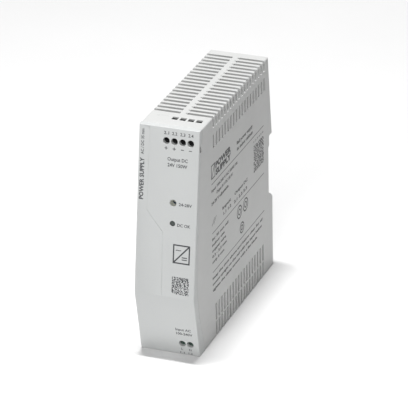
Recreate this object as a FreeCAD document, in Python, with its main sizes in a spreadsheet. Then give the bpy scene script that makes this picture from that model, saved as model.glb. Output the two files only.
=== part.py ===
"""Parametric model of a slim power supply for a 35 mm top-hat rail.

Frame: +Z up, the front faces -Y, the rail is behind at +Y. The origin is the middle of the base
of the overall box. Lengths are in millimetres.
"""
import FreeCAD, Part
import math
import os

import Sketcher

SHEET = "Sizes"
BIG = 60.0  # longer than any wall, for cuts that run right out of a piece

SIZES = {
    # casing
    "width": 34.0, "height": 130.0, "half_depth": 62.5,
    "side_wall": 1.6, "end_wall": 2.0, "split_x": 0.7, "edge_round": 0.8,
    "knee_z": 37.3, "foot_y": -55.1, "brow_y": -48.95,
    # seam between the cover and the shells, from the top down
    "seam_top_y": -45.8, "seam_cheek_y": -47.9, "seam_cheek_z": 119.2,
    "seam_brow_y": -52.9, "seam_brow_z": 86.7,
    "seam_knee_y": -57.3, "seam_knee_z": 38.5, "seam_shin_y": -55.0, "seam_shin_z": 24.0,
    "seam_heel_y": -52.0, "seam_heel_z": 15.0, "seam_foot_y": -46.5,
    "cover_drill": 20, "seam_gap": 0.12, "seam_bevel": 0.5,
    "tongue_length": 8.0, "tongue_root": 0.85, "tongue_thick": 1.05,
    "low_tongue_z": 30.0, "low_tongue_y": -60.4, "high_tongue_z": 99.0, "high_tongue_y": -51.9,
    "latch_low_z": 117.6, "latch_high_z": 121.4, "latch_wide": 0.55, "latch_reach": 1.7,
    "heel_notch": 1.1,
    # back, with the seat for the rail
    "back_top_y": 56.5, "lip_low_z": 82.0, "lip_y": 62.0, "rail_face_y": 57.7,
    "seat_y": 56.4, "seat_top_z": 75.5, "seat_low_z": 47.6, "catch_y": 59.5, "catch_z": 46.0,
    "channel_top_z": 43.4, "cavity_back_y": 54.4,
    "hook_drop": 2.8, "hook_low_y": 59.1, "hook_high_y": 61.3, "hook_inner_x": 4.0,
    "hook_outer_x": 13.5,
    # vents
    "vent_pitch": 4.383, "vent_width": 2.19, "vent_first_y": -29.1, "top_vents": 19,
    "base_vents": 18, "strip_low_x": -1.5, "strip_high_x": 2.5, "wrap_top_z": 124.0,
    "row_top_high_z": 120.0, "row_top_low_z": 112.5, "row_base_high_z": 20.0,
    "row_base_low_z": 10.0, "wrap_base_z": 9.0, "dot_x": 1.85, "dot_size": 0.9,
    # terminals
    "pole_pitch": 4.55, "last_pole_x": 12.1, "output_z": 122.7, "input_z": 7.2,
    "output_front_y": -46.9, "input_front_y": -53.0, "screw_hole_radius": 1.9,
    "wire_slot_size": 3.3, "wire_back": 10.1,
    "block_depth": 14.6, "block_margin": 2.6, "block_inner": 6.7, "block_outer": 4.9,
    "lip_depth": 0.8, "driver_radius": 1.6, "head_radius": 1.85, "head_clearance": 0.07,
    "head_back": 2.25, "shank_radius": 1.25, "shank_back": 7.4,
    "cell_front": 2.2, "cell_back": 13.3, "cell_width": 3.95, "cell_half_height": 2.75,
    "clamp_front": 4.2, "clamp_back": 13.1, "clamp_width": 3.75, "clamp_half_height": 2.5,
    "clamp_wall": 1.2, "clamp_side": 0.5, "thread_clearance": 0.05, "slot_width": 0.6,
    "bar_front": 7.5, "bar_thick": 0.8, "bar_width": 2.4, "comb_height": 2.0,
    "plus_comb_z": 112.0, "minus_comb_z": 107.0, "line_bar_z": 16.0, "neutral_bar_z": 21.0,
    # rail foot
    "foot_clearance": 0.25, "channel_half": 15.2, "channel_lip_y": 60.4, "throat_half": 12.0,
    "foot_low_z": 1.2, "foot_wide_top_z": 40.0, "foot_jaw_z": 46.2, "foot_tip_z": 49.6,
    "foot_face_y": 56.65, "foot_outer_y": 62.2, "jaw_y": 59.0, "window_half": 2.6,
    "window_low_z": 13.5, "window_high_z": 36.5, "stop_low_z": 17.0, "stop_high_z": 19.0,
    "spring_radius": 1.35, "spring_wire": 0.25, "spring_turns": 8, "pull_low_z": 3.4,
    "pull_high_z": 6.8, "pull_half": 4.5,
    # fixings and pins of the boards
    "board_head_radius": 2.2, "board_head_tall": 1.6, "board_slot_deep": 0.7,
    "board_slot_wide": 0.6, "pin_pitch": 2.54, "pin_square": 0.6, "pin_inset": 2.5,
    "pin_hole_radius": 0.45, "pin_strip": 2.5, "pin_stub": 0.9, "pin_tail": 4.6,
    # controls on the front
    "control_x": 3.4, "trimmer_z": 89.4, "led_z": 78.2, "trimmer_hole_radius": 1.95,
    "trimmer_collar_radius": 2.95, "trimmer_collar": 2.4, "led_hole_radius": 1.55,
    "front_board_y": -46.6, "front_board_left_x": -10.0, "front_board_right_x": 13.5,
    "front_board_low_z": 71.0, "front_board_high_z": 97.0,
    "trimmer_size": 6.6, "trimmer_depth": 2.6, "rotor_radius": 1.6, "rotor_depth": 1.3,
    "led_radius": 1.5, "led_length": 4.2, "guide_clearance": 0.05,
    # boards
    "board_thick": 1.6, "board_x": -11.8, "board_front_y": -44.0, "board_back_y": 52.5,
    "board_low_z": 3.6, "board_high_z": 126.4, "film_thick": 0.3, "film_x": -15.0,
    "board_hole_radius": 1.2, "post_radius": 2.4, "board_inset": 4.5,
    # capacitors, magnetics and heat sinks
    "bulk_radius": 10.8, "bulk_length": 38.0, "bulk_y": 40.2, "bulk_low_z": 7.0, "bulk_pitch": 41.0,
    "sink_y": 21.5, "sink_thick": 2.5, "sink_reach": 23.0, "primary_sink_z": 36.0,
    "secondary_sink_z": 82.0, "sink_length": 38.0,
    "package_width": 10.2, "package_length": 15.2, "package_thick": 4.4,
    "core_y": 0.0, "core_z": 57.0, "core_depth": 26.0, "core_length": 32.0, "core_tall": 12.0,
    "core_limb": 5.0, "bobbin_thick": 1.0, "winding_radius": 10.2, "pillar_radius": 4.8,
    "filter_y": -6.0, "filter_z": 17.5, "ring_outer": 10.0, "ring_inner": 5.4, "ring_tall": 8.0,
    "choke_y": 2.0, "choke_z": 104.0, "choke_outer": 9.5, "choke_inner": 5.0, "choke_tall": 7.5,
    "output_can_radius": 5.0, "output_can_length": 20.0, "output_can_y": -14.5,
    "output_can_z": 88.0, "output_can_pitch": 10.6,
}


class Bound:
    """A length with the expression that binds it to the sheet and its present value."""

    def __init__(self, text, value):
        self.text = text
        self.value = value

    @staticmethod
    def of(other):
        if isinstance(other, Bound):
            return other
        return Bound(repr(float(other)), float(other))

    def __add__(self, other):
        other = Bound.of(other)
        return Bound("(%s + %s)" % (self.text, other.text), self.value + other.value)

    def __sub__(self, other):
        other = Bound.of(other)
        return Bound("(%s - %s)" % (self.text, other.text), self.value - other.value)

    def __mul__(self, other):
        other = Bound.of(other)
        return Bound("(%s * %s)" % (self.text, other.text), self.value * other.value)

    def __truediv__(self, other):
        other = Bound.of(other)
        return Bound("(%s / %s)" % (self.text, other.text), self.value / other.value)

    def __neg__(self):
        return Bound("(0 - %s)" % self.text, -self.value)

    def __radd__(self, other):
        return Bound.of(other) + self

    def __rsub__(self, other):
        return Bound.of(other) - self

    def __rmul__(self, other):
        return Bound.of(other) * self


class Sheet:
    """The spreadsheet of driving sizes; each alias reads as a Bound attribute."""

    def __init__(self, document, sizes):
        sheet = document.addObject("Spreadsheet::Sheet", SHEET)
        for row, (alias, number) in enumerate(sizes.items(), start=1):
            sheet.set("A%d" % row, alias)
            sheet.set("B%d" % row, str(number))
            sheet.setAlias("B%d" % row, alias)
            setattr(self, alias, Bound("%s.%s" % (SHEET, alias), float(number)))
        document.recompute()


doc = FreeCAD.newDocument("rail_power_supply")
s = Sheet(doc, SIZES)
NODES = {}


def bind(obj, prop, size):
    """Bind one property to the sheet, or set a plain number."""
    if isinstance(size, Bound):
        obj.setExpression(prop, size.text)
    else:
        obj.setExpression(prop, repr(float(size)))


def node(name, obj):
    """Name a finished sub-part."""
    obj.Label = name
    NODES[name] = obj
    return obj


# ---------------------------------------------------------------- primitives and booleans


def box(name, x, y, z):
    """A block between the low and high values of each axis."""
    obj = doc.addObject("Part::Box", name)
    for prop, axis, (low, high) in zip(("Length", "Width", "Height"), "xyz", (x, y, z)):
        bind(obj, prop, Bound.of(high) - low)
        bind(obj, "Placement.Base.%s" % axis, low)
    return obj


TURNS = {
    "X": FreeCAD.Rotation(FreeCAD.Vector(0, 1, 0), 90),
    "Y": FreeCAD.Rotation(FreeCAD.Vector(1, 0, 0), -90),
    "Z": FreeCAD.Rotation(),
}


def rod(name, axis, start, radius, length):
    """A cylinder that runs from start along +axis."""
    obj = doc.addObject("Part::Cylinder", name)
    obj.Placement = FreeCAD.Placement(FreeCAD.Vector(), TURNS[axis])
    bind(obj, "Radius", radius)
    bind(obj, "Height", length)
    for letter, place in zip("xyz", start):
        bind(obj, "Placement.Base.%s" % letter, place)
    return obj


def ring(name, axis, start, outer, inner, length):
    """A tube that runs from start along +axis."""
    return cut(name, rod(name + "_outer", axis, start, outer, length),
               rod(name + "_inner", axis, start, inner, length))


def fuse(name, *parts):
    obj = doc.addObject("Part::MultiFuse", name)
    obj.Shapes = list(parts)
    return obj


def cut(name, base, *tools):
    """Base less the tools."""
    obj = doc.addObject("Part::Cut", name)
    obj.Base = base
    obj.Tool = tools[0] if len(tools) == 1 else fuse(name + "_tools", *tools)
    return obj


def rounded(name, base, radius, wanted):
    """Round the edges of base that the test wanted(edge) picks."""
    doc.recompute()
    picked = [i for i, edge in enumerate(base.Shape.Edges, start=1) if wanted(edge)]
    obj = doc.addObject("Part::Fillet", name)
    obj.Base = base
    obj.Edges = [(i, radius, radius) for i in picked]
    return obj


def runs_along(edge, axis):
    """True for a straight edge parallel to the axis."""
    if not isinstance(edge.Curve, Part.Line):
        return False
    return abs(abs(edge.tangentAt(edge.FirstParameter).dot(axis)) - 1) < 1e-6


# ---------------------------------------------------------------- bodies and sketches

PLANES = {"Z": "XY_Plane", "Y": "XZ_Plane", "X": "YZ_Plane"}
AXES = {"X": "X_Axis", "Y": "Y_Axis", "Z": "Z_Axis"}


def origin_part(body, role):
    return [part for part in body.Origin.OriginFeatures if part.Role == role][0]


def sketch_at(body, name, normal, place):
    """A sketch across the X, Y or Z axis at a place along it.

    Across Y, the sketch reads X and Z; across X, it reads Y and Z. The plane across Y faces -Y.
    """
    sketch = body.newObject("Sketcher::SketchObject", name)
    sketch.AttachmentSupport = [(origin_part(body, PLANES[normal]), "")]
    sketch.MapMode = "FlatFace"
    offset = Bound.of(place)
    bind(sketch, "AttachmentOffset.Base.z", -offset if normal == "Y" else offset)
    return sketch


def outline(sketch, points):
    """A closed outline of straight runs through the points, each held to the sheet."""
    points = [(Bound.of(u), Bound.of(v)) for u, v in points]
    first = sketch.GeometryCount
    count = len(points)
    ends = [FreeCAD.Vector(u.value, v.value, 0) for u, v in points]
    for i in range(count):
        sketch.addGeometry(Part.LineSegment(ends[i], ends[(i + 1) % count]), False)
    for i in range(count):
        sketch.addConstraint(
            Sketcher.Constraint("Coincident", first + i, 2, first + (i + 1) % count, 1))
    for i, (u, v) in enumerate(points):
        for kind, size in (("DistanceX", u), ("DistanceY", v)):
            index = sketch.addConstraint(Sketcher.Constraint(kind, -1, 1, first + i, 1, size.value))
            sketch.setExpression("Constraints[%d]" % index, size.text)


def rectangle(sketch, low_u, high_u, low_v, high_v):
    outline(sketch, [(low_u, low_v), (high_u, low_v), (high_u, high_v), (low_u, high_v)])


def circle(sketch, u, v, radius):
    """A circle whose centre and radius are held to the sheet."""
    u, v, radius = Bound.of(u), Bound.of(v), Bound.of(radius)
    centre = FreeCAD.Vector(u.value, v.value, 0)
    index = sketch.addGeometry(Part.Circle(centre, FreeCAD.Vector(0, 0, 1), radius.value), False)
    for kind, size in (("DistanceX", u), ("DistanceY", v)):
        held = sketch.addConstraint(Sketcher.Constraint(kind, -1, 1, index, 3, size.value))
        sketch.setExpression("Constraints[%d]" % held, size.text)
    held = sketch.addConstraint(Sketcher.Constraint("Radius", index, radius.value))
    sketch.setExpression("Constraints[%d]" % held, radius.text)


def pad(body, sketch, length, backwards=False):
    feature = body.newObject("PartDesign::Pad", sketch.Name + "_pad")
    feature.Profile = sketch
    bind(feature, "Length", length)
    feature.Reversed = backwards
    return feature


def pocket(body, sketch, depth, forwards=False):
    """Cut away from the sketch's normal, or along it when forwards is set."""
    doc.recompute()
    before = body.Shape.Volume
    feature = body.newObject("PartDesign::Pocket", sketch.Name + "_pocket")
    feature.Profile = sketch
    bind(feature, "Length", depth)
    feature.Reversed = forwards
    doc.recompute()
    if not feature.Shape.Volume < before - 1e-3:
        raise RuntimeError("%s cuts nothing" % feature.Name)
    return feature


def dress(body, kind, size, wanted):
    """Fillet or chamfer the edges of the body's last feature that the test picks."""
    doc.recompute()
    tip = body.Tip
    names = ["Edge%d" % i for i, edge in enumerate(tip.Shape.Edges, start=1) if wanted(edge)]
    feature = body.newObject("PartDesign::" + kind, "%s_%s" % (body.Name, kind.lower()))
    feature.Base = (tip, names)
    bind(feature, "Radius" if kind == "Fillet" else "Size", size)
    doc.recompute()
    return feature


def repeat(body, features, axis, count, step):
    """Repeat features in a row along an axis."""
    pattern = body.newObject("PartDesign::LinearPattern", features[0].Name + "_row")
    pattern.Originals = features
    pattern.Direction = (origin_part(body, AXES[axis]), [""])
    pattern.Mode = "Spacing"
    bind(pattern, "Offset", step)
    bind(pattern, "Occurrences", count)
    body.Tip = pattern
    doc.recompute()
    return pattern


# ---------------------------------------------------------------- casing

half = s.width / 2
inner_half = half - s.side_wall
top_inner = s.height - s.end_wall
SEAM = [
    (s.seam_top_y, s.height),
    (s.seam_cheek_y, s.seam_cheek_z),
    (s.seam_brow_y, s.seam_brow_z),
    (s.seam_knee_y, s.seam_knee_z),
    (s.seam_shin_y, s.seam_shin_z),
    (s.seam_heel_y, s.seam_heel_z),
    (s.seam_foot_y, Bound.of(0)),
]
POLES = {"output": 4, "input": 2}


def pole_x(supply, number):
    """Middle of one pole; the last pole of both blocks is in the same column."""
    return s.last_pole_x - s.pole_pitch * (POLES[supply] - number)


def wire_y(supply):
    front = s.output_front_y if supply == "output" else s.input_front_y
    return front + s.wire_back


def shell_outline():
    """Side view of the housing behind the cover."""
    front = [(y + s.seam_gap, z) for y, z in SEAM]
    back = [
        (s.half_depth, 0), (s.half_depth, s.channel_top_z), (s.catch_y, s.catch_z),
        (s.seat_y, s.seat_low_z), (s.seat_y, s.seat_top_z), (s.rail_face_y, s.seat_top_z + 0.9),
        (s.rail_face_y, s.lip_low_z), (s.lip_y, s.lip_low_z), (s.back_top_y, s.height),
    ]
    return front + back


def cavity_outline():
    """Side view of the room inside; it is open to the cover."""
    front_y = -s.half_depth - 3
    lip_z = s.lip_low_z + s.end_wall
    return [
        (front_y, s.end_wall), (s.cavity_back_y, s.end_wall), (s.cavity_back_y, lip_z),
        (s.lip_y - s.end_wall, lip_z), (s.back_top_y - s.end_wall, top_inner),
        (front_y, top_inner),
    ]


def vent_rows(body, side, strip_x):
    """Slots through the top and base that wrap over the long edges, and a row beside each."""
    outer = half * side + 0.5 * side
    low_x, high_x = (outer, strip_x) if side < 0 else (strip_x, outer)
    low_y = s.vent_first_y - s.vent_width / 2
    high_y = low_y + s.vent_width
    normal_depth = s.side_wall + 1
    for label, place, count, wrap, row in (
            ("top", s.height, s.top_vents, (s.wrap_top_z, s.height + 1),
             (s.row_top_low_z, s.row_top_high_z)),
            ("base", Bound.of(0), s.base_vents, (Bound.of(-1), s.wrap_base_z),
             (s.row_base_low_z, s.row_base_high_z))):
        across = sketch_at(body, "%s_%s_slot" % (body.Name, label), "Z", place)
        rectangle(across, low_x, high_x, low_y, high_y)
        features = [pocket(body, across, s.end_wall + 0.5, forwards=label == "base")]
        for part, (low_z, high_z) in (("wrap", wrap), ("row", row)):
            beside = sketch_at(body, "%s_%s_%s" % (body.Name, label, part), "X", half * side)
            rectangle(beside, low_y, high_y, low_z, high_z)
            features.append(pocket(body, beside, normal_depth, forwards=side < 0))
        if label == "top" and side > 0:
            dots = sketch_at(body, "seam_dots", "Z", place)
            middle = s.vent_first_y + s.vent_width * 0.1
            rectangle(dots, s.dot_x - s.dot_size / 2, s.dot_x + s.dot_size / 2,
                      middle - s.dot_size / 2, middle + s.dot_size / 2)
            features.append(pocket(body, dots, s.end_wall + 0.5))
        repeat(body, features, "Y", count, s.vent_pitch)


def housing_shell(name, side):
    """One half of the housing. side is -1 for the left half and +1 for the right one."""
    body = doc.addObject("PartDesign::Body", name)
    profile = sketch_at(body, name + "_profile", "X", s.split_x)
    outline(profile, shell_outline())
    reach = s.split_x + half if side < 0 else half - s.split_x
    pad(body, profile, reach, backwards=side < 0)

    def on_side(edge):
        return all(abs(v.Point.x - half.value * side) < 1e-6 for v in edge.Vertexes)

    def at_seam(edge):
        return on_side(edge) and all(v.Point.y < s.seam_top_y.value + 0.5 for v in edge.Vertexes)

    def along_back(edge):
        return on_side(edge) and not at_seam(edge)

    dress(body, "Fillet", s.edge_round, along_back)
    dress(body, "Chamfer", s.seam_bevel, at_seam)

    room = sketch_at(body, name + "_room", "X", s.split_x)
    outline(room, cavity_outline())
    pocket(body, room, reach - s.side_wall, forwards=side > 0)

    channel = sketch_at(body, name + "_channel", "Z", Bound.of(0))
    wide = (s.channel_half * side, s.split_x - side)
    rectangle(channel, min(wide, key=value_of), max(wide, key=value_of), s.seat_y, s.channel_lip_y)
    pocket(body, channel, s.seat_low_z + 1, forwards=True)
    throat = sketch_at(body, name + "_throat", "Z", Bound.of(0))
    narrow = (s.throat_half * side, s.split_x - side)
    rectangle(throat, min(narrow, key=value_of), max(narrow, key=value_of),
              s.channel_lip_y - 0.5, s.half_depth + 1)
    pocket(body, throat, s.seat_low_z + 1, forwards=True)

    hook = sketch_at(body, name + "_hook", "Z", s.lip_low_z - s.hook_drop)
    ends = (s.hook_inner_x * side, s.hook_outer_x * side)
    rectangle(hook, min(ends, key=value_of), max(ends, key=value_of), s.hook_low_y, s.hook_high_y)
    pad(body, hook, s.hook_drop + 1)

    if side < 0:
        posts = sketch_at(body, name + "_posts", "X", -inner_half - 0.2)
        for y, z in board_corners():
            circle(posts, y, z, s.post_radius)
        pad(body, posts, s.board_x - s.board_thick + inner_half + 0.2)
        stop = sketch_at(body, name + "_spring_stop", "Z", s.stop_low_z)
        rectangle(stop, -(s.window_half - 0.3), s.split_x, s.seat_y - 0.5, s.channel_lip_y - 0.6)
        pad(body, stop, s.stop_high_z - s.stop_low_z)
    latch = sketch_at(body, name + "_latch", "X", half * side)
    rectangle(latch, s.seam_cheek_y - 2, s.seam_cheek_y + s.seam_gap + s.latch_wide,
              s.latch_low_z, s.latch_high_z)
    pocket(body, latch, s.side_wall + 1, forwards=side < 0)
    wire_slots(body, side)
    vent_rows(body, side, s.strip_low_x if side < 0 else s.strip_high_x)
    return node(name, body)


def value_of(size):
    return size.value


def wire_slots(body, side):
    """The square wire entries through the top and the base that belong to this half."""
    for supply, place in (("output", s.height), ("input", Bound.of(0))):
        mine = [pole_x(supply, n) for n in range(1, POLES[supply] + 1)]
        mine = [x for x in mine if (x.value - s.split_x.value) * side > 0]
        if not mine:
            continue
        sketch = sketch_at(body, "%s_%s_wires" % (body.Name, supply), "Z", place)
        reach = s.wire_slot_size / 2
        middle = wire_y(supply)
        for x in mine:
            rectangle(sketch, x - reach, x + reach, middle - reach, middle + reach)
        pocket(body, sketch, s.end_wall + 0.5, forwards=supply == "input")


def board_corners():
    """Where the main board is screwed to the left shell."""
    low_y, high_y = s.board_front_y + s.board_inset, s.board_back_y - s.board_inset
    low_z, high_z = s.board_low_z + s.board_inset, s.board_high_z - s.board_inset
    return [(low_y, low_z + 26), (high_y, low_z + 48), (low_y, high_z - 26), (high_y, high_z)]


def front_cover():
    """The tray-shaped panel, with its knee, flanges, snap tongues and holes."""
    body = doc.addObject("PartDesign::Body", "front_cover")
    profile = sketch_at(body, "cover_profile", "X", -half)
    face = [(s.foot_y, 0), (-s.half_depth, s.knee_z), (s.brow_y, s.height)]
    outline(profile, face + SEAM)
    pad(body, profile, s.width)

    def on_face(edge):
        ends = [v.Point for v in edge.Vertexes]
        return all(near_face(p) for p in ends)

    def near_face(p):
        slope = (s.brow_y.value + s.half_depth.value) / (s.height.value - s.knee_z.value)
        upper = -s.half_depth.value + (p.z - s.knee_z.value) * slope
        fall = (s.foot_y.value + s.half_depth.value) / s.knee_z.value
        lower = -s.half_depth.value + (s.knee_z.value - p.z) * fall
        return abs(p.y - max(upper, lower)) < 1e-4

    def rim(edge):
        knee = all(abs(v.Point.z - s.knee_z.value) < 1e-6 for v in edge.Vertexes)
        return on_face(edge) and not knee

    dress(body, "Fillet", s.edge_round * 0.75, rim)
    skin = s.end_wall
    room = sketch_at(body, "cover_room", "X", inner_half)
    behind = Bound.of(-40)
    outline(room, [
        (s.foot_y + skin, skin), (-s.half_depth + skin, s.knee_z), (s.brow_y + skin, top_inner),
        (behind, top_inner), (behind, skin)])
    pocket(body, room, inner_half * 2)

    for supply, height in (("output", s.output_z), ("input", s.input_z)):
        holes = sketch_at(body, "cover_%s_holes" % supply, "Y", -s.half_depth - 2)
        for number in range(1, POLES[supply] + 1):
            circle(holes, pole_x(supply, number), height, s.screw_hole_radius)
        pocket(body, holes, s.cover_drill)
    collar = sketch_at(body, "trimmer_collar", "Y", -s.half_depth + 10.5)
    circle(collar, s.control_x, s.trimmer_z, s.trimmer_collar_radius)
    pad(body, collar, s.trimmer_collar)
    controls = sketch_at(body, "control_holes", "Y", -s.half_depth - 2)
    circle(controls, s.control_x, s.trimmer_z, s.trimmer_hole_radius)
    circle(controls, s.control_x, s.led_z, s.led_hole_radius)
    pocket(body, controls, s.cover_drill)

    for side in (-1, 1):
        heel = sketch_at(body, "heel_notch_%d" % (side + 1), "X", half * side)
        rectangle(heel, s.seam_foot_y - s.heel_notch, s.seam_foot_y + 1, Bound.of(-1), s.heel_notch)
        pocket(body, heel, s.side_wall + 1, forwards=side < 0)
        latch = sketch_at(body, "latch_notch_%d" % (side + 1), "X", half * side)
        rectangle(latch, s.seam_cheek_y - s.latch_reach, s.seam_cheek_y + 1,
                  s.latch_low_z, s.latch_high_z)
        pocket(body, latch, s.side_wall + 1, forwards=side < 0)
        for label, low_z, low_y in (("low", s.low_tongue_z, s.low_tongue_y),
                                    ("high", s.high_tongue_z, s.high_tongue_y)):
            for piece, outer_x, high_y in (
                    ("root", inner_half + 0.1, low_y + s.tongue_root),
                    ("finger", inner_half - 0.15, s.seam_top_y + 2.5)):
                name = "tongue_%s_%s_%d" % (label, piece, side + 1)
                sketch = sketch_at(body, name, "Z", low_z)
                ends = (outer_x * side, (inner_half - 0.15 - s.tongue_thick) * side)
                rectangle(sketch, min(ends, key=value_of), max(ends, key=value_of), low_y, high_y)
                pad(body, sketch, s.tongue_length)
    return node("front_cover", body)


housing_shell("left_housing_shell", -1)
housing_shell("right_housing_shell", 1)
front_cover()


# ---------------------------------------------------------------- rail foot and spring

def rail_foot():
    """Sliding foot: a wide plate in the channel, a raised middle, a jaw and a pull slot."""
    gap = s.foot_clearance
    wide = s.channel_half - gap
    narrow = s.throat_half - gap
    body = doc.addObject("PartDesign::Body", "rail_foot")
    plate = sketch_at(body, "foot_plate", "Z", s.foot_low_z)
    rectangle(plate, -wide, wide, s.foot_face_y, s.channel_lip_y - gap)
    pad(body, plate, s.foot_wide_top_z - s.foot_low_z)
    spine = sketch_at(body, "foot_spine", "X", -narrow)
    outline(spine, [
        (s.foot_face_y, s.foot_low_z), (s.foot_outer_y, s.foot_low_z),
        (s.foot_outer_y, s.foot_tip_z - 2.2), (s.jaw_y + 1.4, s.foot_tip_z),
        (s.jaw_y, s.foot_tip_z), (s.jaw_y, s.foot_jaw_z),
        (s.rail_face_y, s.foot_jaw_z), (s.foot_face_y, s.foot_jaw_z - 1.2)])
    pad(body, spine, narrow * 2)
    window = sketch_at(body, "foot_window", "Y", s.foot_face_y - 1)
    rectangle(window, -s.window_half, s.window_half, s.window_low_z, s.window_high_z)
    pocket(body, window, s.channel_lip_y - gap - s.foot_face_y + 1)
    pull = sketch_at(body, "foot_pull", "Y", s.foot_outer_y + 1)
    rectangle(pull, -s.pull_half, s.pull_half, s.pull_low_z, s.pull_high_z)
    pocket(body, pull, BIG / 10, forwards=True)
    ribs = sketch_at(body, "foot_rib", "Y", s.foot_outer_y + 1)
    rectangle(ribs, -s.pull_half * 2, s.pull_half * 2, 38.0, 38.9)
    groove = pocket(body, ribs, 1.5, forwards=True)
    repeat(body, [groove], "Z", Bound.of(4), Bound.of(1.9))
    return node("rail_foot", body)


def foot_spring():
    """Compression spring between the shell's stop and the top of the foot's window."""
    length = s.window_high_z.value - s.stop_high_z.value - 0.4
    turns = s.spring_turns.value
    pitch = (length - 2 * s.spring_wire.value) / turns
    radius = s.spring_radius.value
    helix = Part.makeHelix(pitch, pitch * turns, radius)
    section = Part.Wire(Part.makeCircle(
        s.spring_wire.value, FreeCAD.Vector(radius, 0, 0), FreeCAD.Vector(0, 1, 0)))
    coil = Part.Wire(helix).makePipeShell([section], True, True)
    obj = doc.addObject("Part::Feature", "foot_spring")
    obj.Shape = coil
    middle_y = (s.foot_face_y.value + s.channel_lip_y.value - s.foot_clearance.value) / 2
    low_z = s.stop_high_z.value + 0.2 + s.spring_wire.value
    obj.Placement = FreeCAD.Placement(FreeCAD.Vector(0, middle_y, low_z), FreeCAD.Rotation())
    return node("foot_spring", obj)


rail_foot()
foot_spring()


# ---------------------------------------------------------------- terminals

def up_or_down(supply, middle, near, far):
    """Heights from near to far outwards of the screw line, for the top or the base."""
    if supply == "output":
        return middle + near, middle + far
    return middle - far, middle - near


def terminal_block(supply):
    """Insulating body with one cell, screw well and wire funnel for each pole."""
    front = s.output_front_y if supply == "output" else s.input_front_y
    middle = s.output_z if supply == "output" else s.input_z
    count = POLES[supply]
    low_z, high_z = up_or_down(supply, middle, -s.block_inner, s.block_outer)
    block = box(supply + "_block", (pole_x(supply, 1) - s.block_margin,
                                    pole_x(supply, count) + s.block_margin),
                (front, front + s.block_depth), (low_z, high_z))
    tools = []
    for number in range(1, count + 1):
        x = pole_x(supply, number)
        label = "%s_%d" % (supply, number)
        cell_z = up_or_down(supply, middle, -s.cell_half_height, s.cell_half_height)
        well_z = up_or_down(supply, middle, -s.block_inner - 1, s.cell_half_height)
        half_cell = s.cell_width / 2
        tools.append(box(label + "_cell", (x - half_cell, x + half_cell),
                         (front + s.cell_front, front + s.cell_back), cell_z))
        tools.append(box(label + "_bar_way", (x - half_cell, x + half_cell),
                         (front + s.bar_front - 0.3, front + s.bar_front + s.bar_thick + 0.3),
                         well_z))
        tools.append(rod(label + "_driver", "Y", (x, front - 1, middle), s.driver_radius,
                         s.lip_depth + 2))
        tools.append(rod(label + "_well", "Y", (x, front + s.lip_depth, middle),
                         s.head_radius + s.head_clearance, s.cell_front - s.lip_depth + 0.5))
        entry_z = up_or_down(supply, middle, s.cell_half_height - 0.5, s.block_outer + 1)
        reach = s.wire_slot_size / 2
        tools.append(box(label + "_entry", (x - reach, x + reach),
                         (front + s.wire_back - reach, front + s.wire_back + reach), entry_z))
    return node(supply + "_terminal_body", cut(supply + "_body", block, *tools))


def terminal_screw(supply, number):
    """Clamp screw along the front's depth, with a straight slot in its head."""
    front = s.output_front_y if supply == "output" else s.input_front_y
    middle = s.output_z if supply == "output" else s.input_z
    x = pole_x(supply, number)
    label = "%s_screw_%d" % (supply, number)
    head_front = front + s.lip_depth + 0.1
    head = rod(label + "_head", "Y", (x, head_front, middle), s.head_radius,
               s.head_back - s.lip_depth - 0.1)
    shank = rod(label + "_shank", "Y", (x, front + s.head_back - 0.2, middle), s.shank_radius,
                s.shank_back - s.head_back + 0.2)
    reach = s.head_radius + 0.2
    slot = box(label + "_slot", (x - reach, x + reach), (head_front - 0.1, head_front + 0.7),
               (middle - s.slot_width / 2, middle + s.slot_width / 2))
    return node(label, cut(label + "_cut", fuse(label + "_blank", head, shank), slot))


def clamp_cage(supply, number):
    """Rising cage: a ring round the bar and the wire, with the screw through its front wall."""
    front = s.output_front_y if supply == "output" else s.input_front_y
    middle = s.output_z if supply == "output" else s.input_z
    x = pole_x(supply, number)
    label = "%s_clamp_%d" % (supply, number)
    outer = s.clamp_width / 2
    inner = outer - s.clamp_side
    tall = s.clamp_half_height
    block = box(label + "_block", (x - outer, x + outer),
                (front + s.clamp_front, front + s.clamp_back), (middle - tall, middle + tall))
    mouth = box(label + "_mouth", (x - inner, x + inner),
                (front + s.clamp_front + s.clamp_wall, front + s.clamp_back - s.clamp_wall),
                (middle - tall - 1, middle + tall + 1))
    thread = rod(label + "_thread", "Y", (x, front + s.clamp_front - 1, middle),
                 s.shank_radius + s.thread_clearance, s.clamp_wall + 2)
    return node(label, cut(label + "_cut", block, mouth, thread))


def busbar(name, supply, numbers, comb_z):
    """Comb of flat strip: a tongue into each cage and a tail through the main board."""
    front = s.output_front_y if supply == "output" else s.input_front_y
    middle = s.output_z if supply == "output" else s.input_z
    thick = (front + s.bar_front, front + s.bar_front + s.bar_thick)
    reach = s.bar_width / 2
    parts = []
    for number in numbers:
        x = pole_x(supply, number)
        tip = middle + 2.4 if supply == "output" else middle - 2.4
        heights = (comb_z, tip) if supply == "output" else (tip, comb_z + s.comb_height)
        parts.append(box("%s_tongue_%d" % (name, number), (x - reach, x + reach), thick, heights))
    end_x = pole_x(supply, numbers[-1]) + reach
    tail_end_x = s.board_x - s.board_thick - 0.6
    comb = (comb_z, comb_z + s.comb_height)
    if supply == "output":
        parts.append(box(name + "_comb", (tail_end_x, end_x), thick, comb))
    else:
        bend_x = s.board_x + 2
        back_y = s.board_front_y + 3
        parts.append(box(name + "_comb", (bend_x, end_x), thick, comb))
        parts.append(box(name + "_knee", (bend_x, bend_x + s.bar_thick), (thick[0], back_y), comb))
        parts.append(box(name + "_tail", (tail_end_x, bend_x + s.bar_thick),
                         (back_y - s.bar_thick, back_y), comb))
    return node(name, fuse(name + "_strip", *parts))


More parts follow.
